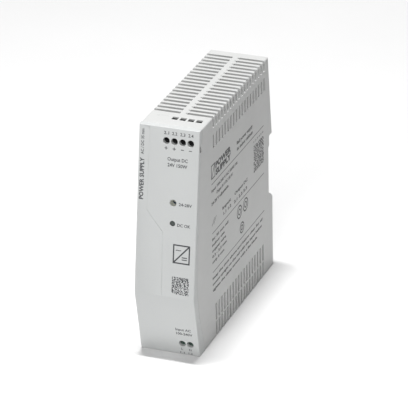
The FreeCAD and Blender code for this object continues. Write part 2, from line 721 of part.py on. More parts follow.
for block_name in POLES:
    terminal_block(block_name)
    for pole in range(1, POLES[block_name] + 1):
        terminal_screw(block_name, pole)
        clamp_cage(block_name, pole)
busbar("output_busbar_plus", "output", (1, 2), s.plus_comb_z)
busbar("output_busbar_minus", "output", (3, 4), s.minus_comb_z)
busbar("input_busbar_line", "input", (1,), s.line_bar_z)
busbar("input_busbar_neutral", "input", (2,), s.neutral_bar_z)


# ---------------------------------------------------------------- boards and front controls

def main_board():
    """Upright board beside the left shell, with a screw hole at each post."""
    board = box("main_board_blank", (s.board_x - s.board_thick, s.board_x),
                (s.board_front_y, s.board_back_y), (s.board_low_z, s.board_high_z))
    start_x = s.board_x - s.board_thick - 1
    holes = [rod("board_hole_%d" % i, "X", (start_x, y, z), s.board_hole_radius,
                 s.board_thick + 2) for i, (y, z) in enumerate(board_corners())]
    for i, (name, size) in enumerate(TAIL_SLOTS):
        low_y, high_y, low_z, high_z = size
        holes.append(box("tail_slot_%d" % i, (start_x, s.board_x + 1),
                         (low_y - 0.1, high_y + 0.1), (low_z - 0.1, high_z + 0.1)))
    return node("main_circuit_board", cut("main_board_cut", board, *holes))


def board_screws():
    """Four self-tapping screws, whose shanks go into the posts of the left shell."""
    parts = []
    for i, (y, z) in enumerate(board_corners()):
        head = rod("board_screw_head_%d" % i, "X", (s.board_x, y, z), s.board_head_radius,
                   s.board_head_tall)
        top_x = s.board_x + s.board_head_tall
        reach = s.board_head_radius + 0.3
        slot = box("board_screw_slot_%d" % i, (top_x - s.board_slot_deep, top_x + 0.4),
                   (y - reach, y + reach),
                   (z - s.board_slot_wide / 2, z + s.board_slot_wide / 2))
        shank = rod("board_screw_shank_%d" % i, "X", (s.board_x - s.board_thick, y, z),
                    s.board_hole_radius - 0.1, s.board_thick + 0.4)
        parts.append(cut("board_screw_%d" % i, fuse("board_screw_blank_%d" % i, head, shank), slot))
    return node("board_screws", fuse("board_screw_group", *parts))


def insulating_sheet():
    """Thin film between the solder side and the shell, with holes for the posts."""
    film = box("film_blank", (s.film_x, s.film_x + s.film_thick),
               (s.board_front_y + 1, s.board_back_y - 1), (s.board_low_z + 1, s.board_high_z - 1))
    holes = [rod("film_hole_%d" % i, "X", (s.film_x - 1, y, z), s.post_radius + 0.4, 3)
             for i, (y, z) in enumerate(board_corners())]
    return node("insulating_sheet", cut("film_cut", film, *holes))


def front_board():
    """Small board across the front that carries the trimmer and the lamp."""
    low_y = s.front_board_y
    board = box("front_board_blank", (s.front_board_left_x, s.front_board_right_x),
                (low_y, low_y + s.board_thick), (s.front_board_low_z, s.front_board_high_z))
    pin_x = s.front_board_left_x + s.pin_inset
    pins = [rod("pin_hole_%d" % i, "Y", (pin_x, low_y - 1, z), s.pin_hole_radius, 4)
            for i, z in enumerate(pin_heights())]
    return node("front_circuit_board", cut("front_board_cut", board, *pins))


def pin_heights():
    """Levels of the six pins, evenly about the middle of the front board."""
    middle = (s.front_board_low_z + s.front_board_high_z) / 2
    return [middle + s.pin_pitch * (i - 2.5) for i in range(6)]


def header_pins():
    """Six bent pins that join the front board to the main board, in their plastic strip."""
    x = s.front_board_left_x + s.pin_inset
    back_y = s.front_board_y + s.board_thick
    tail_y = back_y + s.pin_tail
    half_pin, half_strip = s.pin_square / 2, s.pin_strip / 2
    low_z, high_z = pin_heights()[0] - s.pin_pitch / 2, pin_heights()[-1] + s.pin_pitch / 2
    parts = [box("header_strip", (x - half_strip, x + half_strip), (back_y, back_y + s.pin_strip),
                 (low_z, high_z))]
    for i, z in enumerate(pin_heights()):
        square = (z - half_pin, z + half_pin)
        parts.append(box("pin_out_%d" % i, (x - half_pin, x + half_pin),
                         (s.front_board_y - s.pin_stub, tail_y), square))
        parts.append(box("pin_in_%d" % i, (s.board_x, x + half_pin),
                         (tail_y - s.pin_square, tail_y), square))
    return node("header_pins", fuse("header_group", *parts))


def trimmer():
    """Voltage trimmer: a square body on the board and a slotted rotor behind the cover's hole."""
    reach = s.trimmer_size / 2
    face_y = s.front_board_y - s.trimmer_depth
    blank = box("trimmer_blank", (s.control_x - reach, s.control_x + reach),
                (face_y, s.front_board_y), (s.trimmer_z - reach, s.trimmer_z + reach))
    seat = rod("trimmer_seat", "Y", (s.control_x, face_y - 1, s.trimmer_z),
               s.rotor_radius - 0.5, 2.5)
    soft = rounded("trimmer_soft", cut("trimmer_cut", blank, seat), 0.4,
                   lambda edge: runs_along(edge, FreeCAD.Vector(0, 1, 0)))
    node("trimmer_body", soft)
    disc = rod("rotor_disc", "Y", (s.control_x, face_y - s.rotor_depth - 0.05, s.trimmer_z),
               s.rotor_radius, s.rotor_depth)
    stub = rod("rotor_stub", "Y", (s.control_x, face_y - 0.2, s.trimmer_z),
               s.rotor_radius - 0.55, 1.4)
    slots = [box("rotor_slot_%d" % i, (s.control_x - wide, s.control_x + wide),
                 (face_y - s.rotor_depth - 1, face_y - s.rotor_depth + 0.6),
                 (s.trimmer_z - tall, s.trimmer_z + tall))
             for i, (wide, tall) in enumerate(((1.25, 0.28), (0.28, 1.25)))]
    return node("trimmer_rotor", cut("rotor_cut", fuse("rotor_blank", disc, stub), *slots))


def status_lamp():
    """Round lamp on the front board and the clear rod that carries its light to the cover."""
    foot = rod("led_foot", "Y", (s.control_x, s.front_board_y - 1, s.led_z), s.led_radius + 0.35, 1)
    stem = rod("led_stem", "Y", (s.control_x, s.front_board_y - s.led_length + 1.5, s.led_z),
               s.led_radius, s.led_length - 2)
    dome = doc.addObject("Part::Sphere", "led_dome")
    bind(dome, "Radius", s.led_radius)
    for letter, place in zip("xyz", (s.control_x, s.front_board_y - s.led_length + 1.5, s.led_z)):
        bind(dome, "Placement.Base.%s" % letter, place)
    node("status_led", fuse("led_shape", foot, stem, dome))
    front_y = -s.half_depth + 6.1
    back_y = s.front_board_y - s.led_length - 0.3
    guide = rod("guide_rod", "Y", (s.control_x, front_y, s.led_z),
                s.led_hole_radius - s.guide_clearance, back_y - front_y)
    flange = rod("guide_flange", "Y", (s.control_x, back_y - 1, s.led_z), 2.4, 1)
    return node("light_guide", fuse("guide_shape", guide, flange))


def tail_slots():
    """Where the busbar tails pass through the main board."""
    bar = s.output_front_y + s.bar_front
    back_y = s.board_front_y + 3
    found = []
    for low_z in (s.plus_comb_z, s.minus_comb_z):
        found.append(("output", (bar, bar + s.bar_thick, low_z, low_z + s.comb_height)))
    for low_z in (s.line_bar_z, s.neutral_bar_z):
        found.append(("input", (back_y - s.bar_thick, back_y, low_z, low_z + s.comb_height)))
    return found


TAIL_SLOTS = tail_slots()
main_board()
board_screws()
insulating_sheet()
front_board()
header_pins()
trimmer()
status_lamp()


# ---------------------------------------------------------------- parts on the main board

def leads(name, y_values, z, length, radius=0.4):
    """Straight wire leads that stand on the board."""
    return [rod("%s_lead_%d" % (name, i), "X", (s.board_x, y, z), radius, length)
            for i, y in enumerate(y_values)]


def fuse_and_clips():
    """Tube fuse along Z in two spring clips."""
    y, x, low_z, length, radius = Bound.of(-33.0), s.board_x + 4.6, Bound.of(33.0), 20.0, 2.6
    tube = rod("fuse_tube", "Z", (x, y, low_z + 4.5), radius - 0.25, length - 9)
    caps = [rod("fuse_cap_%d" % i, "Z", (x, y, z), radius, 5.0)
            for i, z in enumerate((low_z, low_z + length - 5))]
    node("fuse", fuse("fuse_shape", tube, *caps))
    clips = []
    for i, z in enumerate((low_z + 1, low_z + length - 4)):
        around = box("clip_outer_%d" % i, (s.board_x, x + 1.6), (y - 3.2, y + 3.2), (z, z + 3))
        inside = box("clip_inner_%d" % i, (x, x + 9), (y - 2.2, y + 2.2), (z - 1, z + 4))
        room = rod("clip_room_%d" % i, "Z", (x, y, z - 1), radius + 0.02, 5)
        clips.append(cut("clip_%d" % i, around, inside, room))
    return node("fuse_clips", fuse("fuse_clip_pair", *clips))


def disc_part(name, y, z, radius, thick):
    """A dipped disc on two leads, standing off the board."""
    rise = s.board_x + 2 + radius
    disc = rod(name + "_disc", "Y", (rise, y - thick / 2, z), radius, thick)
    soft = rounded(name + "_soft", disc, thick * 0.35, lambda edge: edge.Closed)
    legs = [rod("%s_leg_%d" % (name, i), "X", (s.board_x, y, z + offset), 0.4, radius)
            for i, offset in enumerate((-radius * 0.5, radius * 0.5))]
    return node(name, fuse(name + "_shape", soft, *legs))


def block_part(name, y, z, tall, edge):
    """A moulded block on the board between the given places."""
    blank = box(name + "_blank", (s.board_x + 0.3, s.board_x + 0.3 + tall), y, z)
    soft = rounded(name + "_soft", blank, edge, lambda item: True)
    low_y, high_y = y
    low_z, high_z = z
    middle = (Bound.of(low_y) + high_y) / 2
    feet = [rod("%s_foot_%d" % (name, i), "X", (s.board_x, middle, place), 0.5, 1.0)
            for i, place in enumerate((Bound.of(low_z) + 2, Bound.of(high_z) - 2))]
    return node(name, fuse(name + "_shape", soft, *feet))


def toroid(name, y, z, outer, inner, tall, sectors):
    """Ring core flat to the board, and the wire wound round parts of it."""
    base_x = s.board_x + 2.2
    node(name + "_core", ring(name + "_ring", "X", (base_x, y, z), outer, inner, tall))
    turns = []
    middle_radius = (outer + inner) / 2
    for sector, (start, end, count) in enumerate(sectors):
        for i in range(count):
            angle = math.radians(start + (end - start) * i / (count - 1))
            turns.append(wire_turn("%s_turn_%d_%d" % (name, sector, i), (base_x, y, z),
                                   middle_radius, (outer - inner) / 2, tall, angle))
    return node(name + "_winding", fuse(name + "_turns", *turns))


def wire_turn(name, start, middle_radius, half_width, tall, angle):
    """One square turn of wire round the section of a ring core."""
    wire = 1.0
    gap = 0.15
    outside = doc.addObject("Part::Box", name + "_out")
    inside = doc.addObject("Part::Box", name + "_in")
    turn = FreeCAD.Rotation(FreeCAD.Vector(1, 0, 0), math.degrees(angle))
    for obj, margin, width in ((outside, gap + wire, wire), (inside, gap, wire * 3)):
        bind(obj, "Length", tall + 2 * margin)
        bind(obj, "Width", 2 * (half_width + margin))
        bind(obj, "Height", width)
        corner = FreeCAD.Vector(0, middle_radius.value - half_width.value - margin, -width / 2)
        corner = turn.multVec(corner)
        obj.Placement = FreeCAD.Placement(FreeCAD.Vector(), turn)
        bind(obj, "Placement.Base.x", start[0] - margin)
        bind(obj, "Placement.Base.y", start[1] + corner.y)
        bind(obj, "Placement.Base.z", start[2] + corner.z)
    return cut(name, outside, inside)


def bulk_capacitor(name, low_z):
    """Large can that lies along Z, with a rolled bead at the open end."""
    x = s.board_x + 0.4 + s.bulk_radius
    can = rod(name + "_can", "Z", (x, s.bulk_y, low_z), s.bulk_radius, s.bulk_length)
    soft = rounded(name + "_soft", can, 1.0, lambda edge: edge.Closed)
    bead = ring(name + "_bead", "Z", (x, s.bulk_y, low_z + 3.0), s.bulk_radius + 1,
                s.bulk_radius - 0.5, 1.2)
    legs = [rod("%s_leg_%d" % (name, i), "X", (s.board_x, s.bulk_y, place), 0.5, 3.0)
            for i, place in enumerate((low_z + 6, low_z + 14))]
    return node(name, fuse(name + "_shape", cut(name + "_necked", soft, bead), *legs))


def output_capacitor(number):
    """Small can that stands on the board, with a scored end."""
    z = s.output_can_z + s.output_can_pitch * (number - 1)
    name = "output_capacitor_%d" % number
    base_x = s.board_x + 0.2
    can = rod(name + "_can", "X", (base_x, s.output_can_y, z), s.output_can_radius,
              s.output_can_length)
    soft = rounded(name + "_soft", can, 0.6, lambda edge: edge.Closed)
    top_x = base_x + s.output_can_length
    scores = [box("%s_score_%d" % (name, i), (top_x - 0.3, top_x + 1),
                  (s.output_can_y - wide, s.output_can_y + wide), (z - tall, z + tall))
              for i, (wide, tall) in enumerate(((3.2, 0.2), (0.2, 3.2)))]
    bead = ring(name + "_bead", "X", (base_x + 2.0, s.output_can_y, z), s.output_can_radius + 1,
                s.output_can_radius - 0.3, 0.8)
    feet = leads(name, (s.output_can_y - 2.5, s.output_can_y + 2.5), z, 1.0)
    return node(name, fuse(name + "_shape", cut(name + "_cut", soft, bead, *scores), *feet))


def heat_sink(name, low_z):
    """Aluminium plate across the board with two fins folded back along its outer edge."""
    high_z = low_z + s.sink_length
    outer_x = s.board_x + s.sink_reach
    plate = box(name + "_plate", (s.board_x + 0.2, outer_x), (s.sink_y, s.sink_y + s.sink_thick),
                (low_z, high_z))
    fin = box(name + "_fin", (outer_x - 1.6, outer_x), (s.sink_y - 3.5, s.sink_y + 6.5),
              (low_z, high_z))
    slots = [box("%s_gap_%d" % (name, i), (outer_x - 3, outer_x + 1),
                 (s.sink_y - 4, s.sink_y - 0.5), (z, z + 1.5))
             for i, z in enumerate([low_z + 6.0 * k for k in range(1, 6)])]
    holes = [rod("%s_hole_%d" % (name, i), "Y", (s.board_x + 15.0, s.sink_y - 1, z), 1.5, 6)
             for i, z in enumerate(package_heights(low_z))]
    return node(name, cut(name + "_cut", fuse(name + "_shape", plate, fin), *(slots + holes)))


def package_heights(low_z):
    return [low_z + s.sink_length / 2 + place for place in (-10.5, 10.5)]


def power_packages(name, low_z):
    """Two tab packages on the front of a heat sink, each with three leads to the board."""
    parts = []
    back_y = s.sink_y
    for i, z in enumerate(package_heights(low_z)):
        half_width = s.package_width / 2
        low_x = s.board_x + 2.6
        body = box("%s_body_%d" % (name, i), (low_x, low_x + 9), (back_y - s.package_thick, back_y),
                   (z - half_width, z + half_width))
        tab = box("%s_tab_%d" % (name, i), (low_x, low_x + s.package_length), (back_y - 1.3, back_y),
                  (z - half_width, z + half_width))
        hole = rod("%s_hole_%d" % (name, i), "Y", (s.board_x + 15.0, back_y - 5, z), 1.6, 6)
        parts.append(cut("%s_%d" % (name, i), fuse("%s_blank_%d" % (name, i), body, tab), hole))
        for k in (-1, 0, 1):
            parts.append(box("%s_lead_%d_%d" % (name, i, k), (s.board_x, low_x + 0.5),
                             (back_y - 2.6, back_y - 2.0), (z + 2.54 * k - 0.4, z + 2.54 * k + 0.4)))
    return node(name, fuse(name + "_group", *parts))


def transistor_screws():
    """Pan-head screws that hold the packages on both heat sinks."""
    parts = []
    for place in (s.primary_sink_z, s.secondary_sink_z):
        for z in package_heights(place):
            label = "sink_screw_%d" % len(parts)
            x = s.board_x + 15.0
            head = rod(label + "_head", "Y", (x, s.sink_y - 3.2, z), 2.6, 1.9)
            slot = box(label + "_slot", (x - 3, x + 3), (s.sink_y - 4, s.sink_y - 2.5),
                       (z - 0.35, z + 0.35))
            shank = rod(label + "_shank", "Y", (x, s.sink_y - 1.4, z), 1.45, 5.2)
            parts.append(cut(label, fuse(label + "_blank", head, shank), slot))
    return node("transistor_screws", fuse("transistor_screw_group", *parts))


def transformer():
    """Two E cores round a bobbin whose wound middle lies along Z."""
    x = s.board_x + 2.2
    y, z = s.core_y, s.core_z
    deep, length, tall = s.core_depth / 2, s.core_length / 2, s.core_tall
    base = x + 4.2
    shell = box("core_block", (base, base + tall), (y - deep, y + deep), (z - length, z + length))
    window = box("core_window", (base - 1, base + tall + 1),
                 (y - deep + s.core_limb, y + deep - s.core_limb),
                 (z - length + s.core_limb, z + length - s.core_limb))
    pillar = rod("core_pillar", "Z", (base + tall / 2, y, z - length + 1), s.pillar_radius,
                 s.core_length - 2)
    node("transformer_core", fuse("core_shape", cut("core_frame", shell, window), pillar))
    flange_reach = deep - s.core_limb - 0.2
    low_z, high_z = z - length + s.core_limb + 0.2, z + length - s.core_limb - 0.2
    middle = base + tall / 2
    clear = s.pillar_radius + 0.15
    tube = rod("bobbin_tube", "Z", (middle, y, low_z), clear + s.bobbin_thick, high_z - low_z)
    flanges = [box("bobbin_flange_%d" % i, (x, base + tall + 2.5),
                   (y - flange_reach, y + flange_reach), (place, place + s.bobbin_thick))
               for i, place in enumerate((low_z, high_z - s.bobbin_thick))]
    bore = rod("bobbin_bore", "Z", (middle, y, low_z - 1), clear, high_z - low_z + 2)
    rails = [box("bobbin_rail_%d" % i, (s.board_x + 0.4, x + 2.6), (y - deep + 1, y + deep - 1),
                 (place, place + 4.0))
             for i, place in enumerate((low_z - 0.5, high_z - 3.5))]
    pins = [rod("bobbin_pin_%d_%d" % (i, k), "X", (s.board_x, y + 4.4 * k, place), 0.45, 1.0)
            for i, place in enumerate((low_z + 1.5, high_z - 1.5)) for k in (-2, -1, 0, 1, 2)]
    shape = cut("bobbin_cut", fuse("bobbin_blank", tube, *(flanges + rails)), bore)
    node("transformer_bobbin", fuse("bobbin_shape", shape, *pins))
    outer = s.winding_radius * 0.74
    coil = ring("winding_ring", "Z", (middle, y, low_z + s.bobbin_thick + 0.1), outer,
                clear + s.bobbin_thick + 0.05, high_z - low_z - 2 * s.bobbin_thick - 0.2)
    return node("transformer_winding", coil)


def control_board():
    """Small upright board behind the terminals with the control chips on its rear side."""
    y, low_z, high_z = Bound.of(-25.5), Bound.of(56.0), Bound.of(78.0)
    board = box("control_board_blank", (s.board_x, s.board_x + 19), (y, y + 1.0), (low_z, high_z))
    node("control_board", board)
    chips = []
    for i, (x, z) in enumerate(((s.board_x + 6, low_z + 6), (s.board_x + 13, low_z + 15))):
        body = box("chip_%d" % i, (x - 2, x + 2), (y + 1.15, y + 2.7), (z - 5, z + 5))
        chips.append(body)
        for side in (-1, 1):
            for k in range(8):
                place = z + 1.27 * (k - 3.5)
                edge = (x + 2, x + 3) if side > 0 else (x - 3, x - 2)
                chips.append(box("chip_lead_%d_%d_%d" % (i, side, k), edge, (y + 1.0, y + 1.6),
                                 (place - 0.2, place + 0.2)))
    return node("control_chips", fuse("control_chip_group", *chips))


def optocoupler(number, low_z):
    """Four-lead package that bridges the isolation gap."""
    name = "optocoupler_%d" % number
    y = Bound.of(-31.5)
    body = box(name + "_body", (s.board_x + 0.6, s.board_x + 4.0), (y, y + 6.4),
               (low_z, low_z + 4.6))
    legs = [box("%s_leg_%d_%d" % (name, side, k), (s.board_x, s.board_x + 1.8),
                (y + 3.2 + side * 3.7 - 0.5, y + 3.2 + side * 3.7 + 0.5),
                (low_z + 1.0 + 2.2 * k, low_z + 1.5 + 2.2 * k))
            for side in (-1, 1) for k in (0, 1)]
    return node(name, fuse(name + "_shape", body, *legs))


fuse_and_clips()
disc_part("varistor", Bound.of(-36.0), Bound.of(64.0), 6.0, 4.6)
disc_part("inrush_thermistor", Bound.of(-28.0), Bound.of(14.0), 6.0, 5.0)
disc_part("safety_capacitor", Bound.of(-22.0), Bound.of(37.0), 4.5, 4.0)
block_part("line_filter_capacitor", (-29.5, -19.5), (42.0, 54.5), 15.0, 0.5)
toroid("filter_choke", s.filter_y, s.filter_z, s.ring_outer, s.ring_inner, s.ring_tall,
       ((30, 150, 8), (210, 330, 8)))
block_part("bridge_rectifier", (9.0, 13.0), (8.0, 30.0), 15.0, 0.4)
bulk_capacitor("bulk_capacitor_lower", s.bulk_low_z)
bulk_capacitor("bulk_capacitor_upper", s.bulk_low_z + s.bulk_pitch)
heat_sink("primary_heat_sink", s.primary_sink_z)
power_packages("switching_transistors", s.primary_sink_z)
heat_sink("secondary_heat_sink", s.secondary_sink_z)
power_packages("rectifier_transistors", s.secondary_sink_z)
transistor_screws()
transformer()
toroid("output_choke", s.choke_y, s.choke_z, s.choke_outer, s.choke_inner, s.choke_tall,
       ((20, 340, 18),))
for can_number in (1, 2, 3):
    output_capacitor(can_number)
control_board()
optocoupler(1, Bound.of(84.0))
optocoupler(2, Bound.of(91.5))


# ---------------------------------------------------------------- checks and files

def check_document():
    """Stop if any object failed or any sub-part is not a valid solid."""
    doc.recompute()
    for obj in doc.Objects:
        if "Invalid" in obj.State or "Error" in obj.State:
            raise RuntimeError("%s: %s" % (obj.Name, obj.State))
    for name, obj in NODES.items():
        if obj.Shape.isNull() or not obj.Shape.isValid() or not obj.Shape.Solids:
            raise RuntimeError("%s is not a valid solid" % name)


check_document()
os.makedirs("parts", exist_ok=True)
for label, part in NODES.items():
    part.Shape.exportStep("parts/%s.step" % label)
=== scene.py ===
"""Looks of a slim power supply for a 35 mm top-hat rail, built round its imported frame.

Frame: +Z up, the front faces -Y, the rail is behind at +Y. Lengths are in metres, and the
names ending in _mm hold millimetres that mm() turns into metres.
"""
import logging
import math
import random
from dataclasses import dataclass, field
from enum import Enum
from typing import Callable, Iterable, Optional, Sequence

import bpy
from mathutils import Matrix, Vector


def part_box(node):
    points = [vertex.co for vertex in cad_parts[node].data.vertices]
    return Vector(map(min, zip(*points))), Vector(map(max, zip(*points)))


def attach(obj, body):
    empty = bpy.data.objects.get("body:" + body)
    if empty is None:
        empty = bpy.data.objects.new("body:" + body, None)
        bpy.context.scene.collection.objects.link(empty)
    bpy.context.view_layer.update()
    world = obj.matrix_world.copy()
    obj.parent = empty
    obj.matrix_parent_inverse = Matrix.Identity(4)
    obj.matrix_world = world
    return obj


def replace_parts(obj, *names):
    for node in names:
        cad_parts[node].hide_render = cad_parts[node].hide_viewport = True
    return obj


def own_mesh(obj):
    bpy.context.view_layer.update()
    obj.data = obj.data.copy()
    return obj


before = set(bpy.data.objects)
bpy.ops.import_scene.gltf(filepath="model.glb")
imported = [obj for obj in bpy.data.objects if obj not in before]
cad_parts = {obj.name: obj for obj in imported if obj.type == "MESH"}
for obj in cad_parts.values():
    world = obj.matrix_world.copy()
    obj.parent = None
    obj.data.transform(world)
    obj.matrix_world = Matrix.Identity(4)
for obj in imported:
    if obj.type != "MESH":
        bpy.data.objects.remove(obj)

log = logging.getLogger("rail_supply")
logging.basicConfig(level=logging.INFO, format="%(message)s")

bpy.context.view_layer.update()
HOUSING = "housing"
Point = tuple[float, float, float]
Colour = tuple[float, float, float]


def mm(*values: float) -> Vector:
    """Millimetres as a vector in metres."""
    return Vector(value / 1000 for value in values)


# ---------------------------------------------------------------- finishes


class Shader:
    """A material's node tree with short names for the nodes that the finishes use."""

    def __init__(self, name: str) -> None:
        """Start a material that has a Principled shader alone."""
        self.material = bpy.data.materials.new(name)
        self.material.use_nodes = True
        self.nodes = self.material.node_tree.nodes
        self.links = self.material.node_tree.links
        self.body = self.nodes["Principled BSDF"]

    def set(self, **values: object) -> None:
        """Set the Principled sockets whose names are given with underscores."""
        for key, value in values.items():
            self.body.inputs[key.replace("_", " ")].default_value = value

    def join(self, output: bpy.types.NodeSocket, target: str) -> None:
        """Feed a Principled socket."""
        self.links.new(output, self.body.inputs[target])

    def place(self, stretch: Point = (1, 1, 1)) -> bpy.types.NodeSocket:
        """Position on the piece in metres, stretched along its axes."""
        where = self.nodes.new("ShaderNodeTexCoord")
        mapping = self.nodes.new("ShaderNodeMapping")
        mapping.inputs["Scale"].default_value = stretch
        self.links.new(where.outputs["Object"], mapping.inputs["Vector"])
        return mapping.outputs["Vector"]

    def noise(self, size_mm: float, detail: float = 3, stretch: Point = (1, 1, 1),
              rough: float = 0.5) -> bpy.types.NodeSocket:
        """Soft noise whose blobs measure about size_mm.

        Args:
            size_mm: width of a blob.
            detail: how many finer layers it has.
            stretch: how much tighter the noise is along each axis.
            rough: how strong the finer layers are.

        Returns:
            The noise as a value round 0.5.
        """
        node = self.nodes.new("ShaderNodeTexNoise")
        node.inputs["Scale"].default_value = 1000 / size_mm
        node.inputs["Detail"].default_value = detail
        node.inputs["Roughness"].default_value = rough
        self.links.new(self.place(stretch), node.inputs["Vector"])
        return node.outputs["Fac"]

    def cells(self, size_mm: float, stretch: Point = (1, 1, 1)) -> bpy.types.NodeSocket:
        """Distance to the middle of cells about size_mm wide."""
        node = self.nodes.new("ShaderNodeTexVoronoi")
        node.inputs["Scale"].default_value = 1000 / size_mm
        self.links.new(self.place(stretch), node.inputs["Vector"])
        return node.outputs["Distance"]

    def spread(self, value: bpy.types.NodeSocket, low: float, high: float,
               start: float = 0.3, end: float = 0.7) -> bpy.types.NodeSocket:
        """Map a value from start to end onto low to high."""
        node = self.nodes.new("ShaderNodeMapRange")
        for key, number in (("From Min", start), ("From Max", end), ("To Min", low),
                            ("To Max", high)):
            node.inputs[key].default_value = number
        self.links.new(value, node.inputs["Value"])
        return node.outputs["Result"]

    def math(self, kind: str, first: bpy.types.NodeSocket,
             second: "bpy.types.NodeSocket | float") -> bpy.types.NodeSocket:
        """One Math node, such as MULTIPLY or MAXIMUM."""
        node = self.nodes.new("ShaderNodeMath")
        node.operation = kind
        self.links.new(first, node.inputs[0])
        if isinstance(second, (int, float)):
            node.inputs[1].default_value = second
        else:
            self.links.new(second, node.inputs[1])
        return node.outputs["Value"]

    def blend(self, amount: bpy.types.NodeSocket, first: "Colour | bpy.types.NodeSocket",
              second: "Colour | bpy.types.NodeSocket") -> bpy.types.NodeSocket:
        """Mix two colours by an amount from 0 to 1."""
        node = self.nodes.new("ShaderNodeMix")
        node.data_type = "RGBA"
        self.links.new(amount, node.inputs["Factor"])
        for index, colour in ((6, first), (7, second)):
            if isinstance(colour, tuple):
                node.inputs[index].default_value = (*colour, 1)
            else:
                self.links.new(colour, node.inputs[index])
        return node.outputs[2]

    def relief(self, height: bpy.types.NodeSocket, depth_mm: float, strength: float = 1.0,
               under: Optional[bpy.types.NodeSocket] = None) -> bpy.types.NodeSocket:
        """Bump of a given depth, laid over another one if given."""
        node = self.nodes.new("ShaderNodeBump")
        node.inputs["Strength"].default_value = strength
        node.inputs["Distance"].default_value = depth_mm / 1000
        self.links.new(height, node.inputs["Height"])
        if under is not None:
            self.links.new(under, node.inputs["Normal"])
        return node.outputs["Normal"]


def shade(colour: Colour, factor: float) -> Colour:
    """A darker or lighter colour."""
    return tuple(min(1.0, part * factor) for part in colour)


@dataclass(frozen=True)
class MouldedPlastic:
    """Injection-moulded plastic with an eroded tool grain and slight flow marks."""

    name: str
    colour: Colour
    roughness: float = 0.45
    grain_mm: float = 0.22
    grain_depth_mm: float = 0.012
    mottle: float = 0.035
    specular: float = 0.4

    def make(self) -> bpy.types.Material:
        """Build the material."""
        tool = Shader(self.name)
        flow = tool.noise(38, detail=4, stretch=(1, 1, 0.5))
        speck = tool.noise(0.9, detail=2)
        rubbed = tool.noise(9, detail=6, stretch=(1, 1, 3), rough=0.7)
        tone = tool.blend(tool.spread(flow, 0, 1), shade(self.colour, 1 - self.mottle),
                          shade(self.colour, 1 + self.mottle * 0.5))
        dust = tool.math("MULTIPLY", tool.spread(speck, 0, 1, 0.62, 0.75), 0.25)
        tool.join(tool.blend(dust, tone, shade(self.colour, 0.86)), "Base Color")
        gloss = tool.spread(rubbed, self.roughness - 0.07, self.roughness + 0.08)
        tool.join(gloss, "Roughness")
        fine = tool.relief(tool.noise(self.grain_mm, detail=2), self.grain_depth_mm, 0.6)
        tool.join(tool.relief(tool.noise(14, detail=2), 0.03, 0.35, under=fine), "Normal")
        tool.set(Specular_IOR_Level=self.specular)
        return tool.material


@dataclass(frozen=True)
class PlatedSteel:
    """Zinc-plated steel with drawn lines and small stains."""

    name: str
    colour: Colour
    roughness: float = 0.32
    lines: Point = (1, 1, 12)

    def make(self) -> bpy.types.Material:
        """Build the material."""
        tool = Shader(self.name)
        drawn = tool.noise(0.5, detail=3, stretch=self.lines)
        stain = tool.noise(2.2, detail=5)
        tone = tool.blend(tool.spread(stain, 0, 1), shade(self.colour, 0.78), self.colour)
        tool.join(tone, "Base Color")
        tool.join(tool.spread(drawn, self.roughness - 0.1, self.roughness + 0.14), "Roughness")
        tool.join(tool.relief(drawn, 0.008, 0.5), "Normal")
        tool.set(Metallic=1.0)
        return tool.material


@dataclass(frozen=True)
class BoardLaminate:
    """Glass laminate under solder mask, with the tracks standing up through the mask."""

    name: str
    mask: Colour
    track: Colour

    def make(self) -> bpy.types.Material:
        """Build the material."""
        tool = Shader(self.name)
        paths = tool.spread(tool.cells(5.5, (1, 1, 1.6)), 0, 1, 0.42, 0.46)
        weave = tool.noise(0.35, detail=1, stretch=(1, 1, 2))
        tone = tool.blend(paths, self.mask, self.track)
        tool.join(tool.blend(tool.spread(weave, 0, 0.3), tone, shade(self.mask, 0.7)),
                  "Base Color")
        tool.join(tool.spread(weave, 0.25, 0.4), "Roughness")
        lift = tool.relief(paths, 0.035)
        tool.join(tool.relief(weave, 0.01, 0.4, under=lift), "Normal")
        tool.set(Specular_IOR_Level=0.5)
        return tool.material


@dataclass(frozen=True)
class GlossCoat:
    """Dipped, wrapped or enamelled coat, thick and slightly uneven."""

    name: str
    colour: Colour
    roughness: float = 0.22
    wave_mm: float = 2.5
    wave_depth_mm: float = 0.05
    band: Optional[Point] = None
    metallic: float = 0.0

    def make(self) -> bpy.types.Material:
        """Build the material."""
        tool = Shader(self.name)
        wave = tool.noise(self.wave_mm, detail=3)
        fine = tool.noise(0.3, detail=2, stretch=self.band or (1, 1, 1))
        tone = tool.blend(tool.spread(wave, 0, 1), shade(self.colour, 0.85),
                          shade(self.colour, 1.08))
        tool.join(tone, "Base Color")
        tool.join(tool.spread(fine, self.roughness - 0.08, self.roughness + 0.1), "Roughness")
        soft = tool.relief(wave, self.wave_depth_mm, 0.6)
        tool.join(tool.relief(fine, 0.015, 0.5, under=soft), "Normal")
        tool.set(Metallic=self.metallic, Coat_Weight=0.25, Coat_Roughness=0.2)
        return tool.material


@dataclass(frozen=True)
class PressedPowder:
    """Sintered core or cast part, matt and gritty."""

    name: str
    colour: Colour

    def make(self) -> bpy.types.Material:
        """Build the material."""
        tool = Shader(self.name)
        grit = tool.noise(0.25, detail=4, rough=0.7)
        cloud = tool.noise(5, detail=3)
        tone = tool.blend(tool.spread(cloud, 0, 1), shade(self.colour, 0.8),
                          shade(self.colour, 1.15))
        tool.join(tool.blend(tool.spread(grit, 0, 0.35), tone, shade(self.colour, 1.8)),
                  "Base Color")
        tool.join(tool.spread(grit, 0.5, 0.75), "Roughness")
        tool.join(tool.relief(grit, 0.03, 0.7), "Normal")
        return tool.material


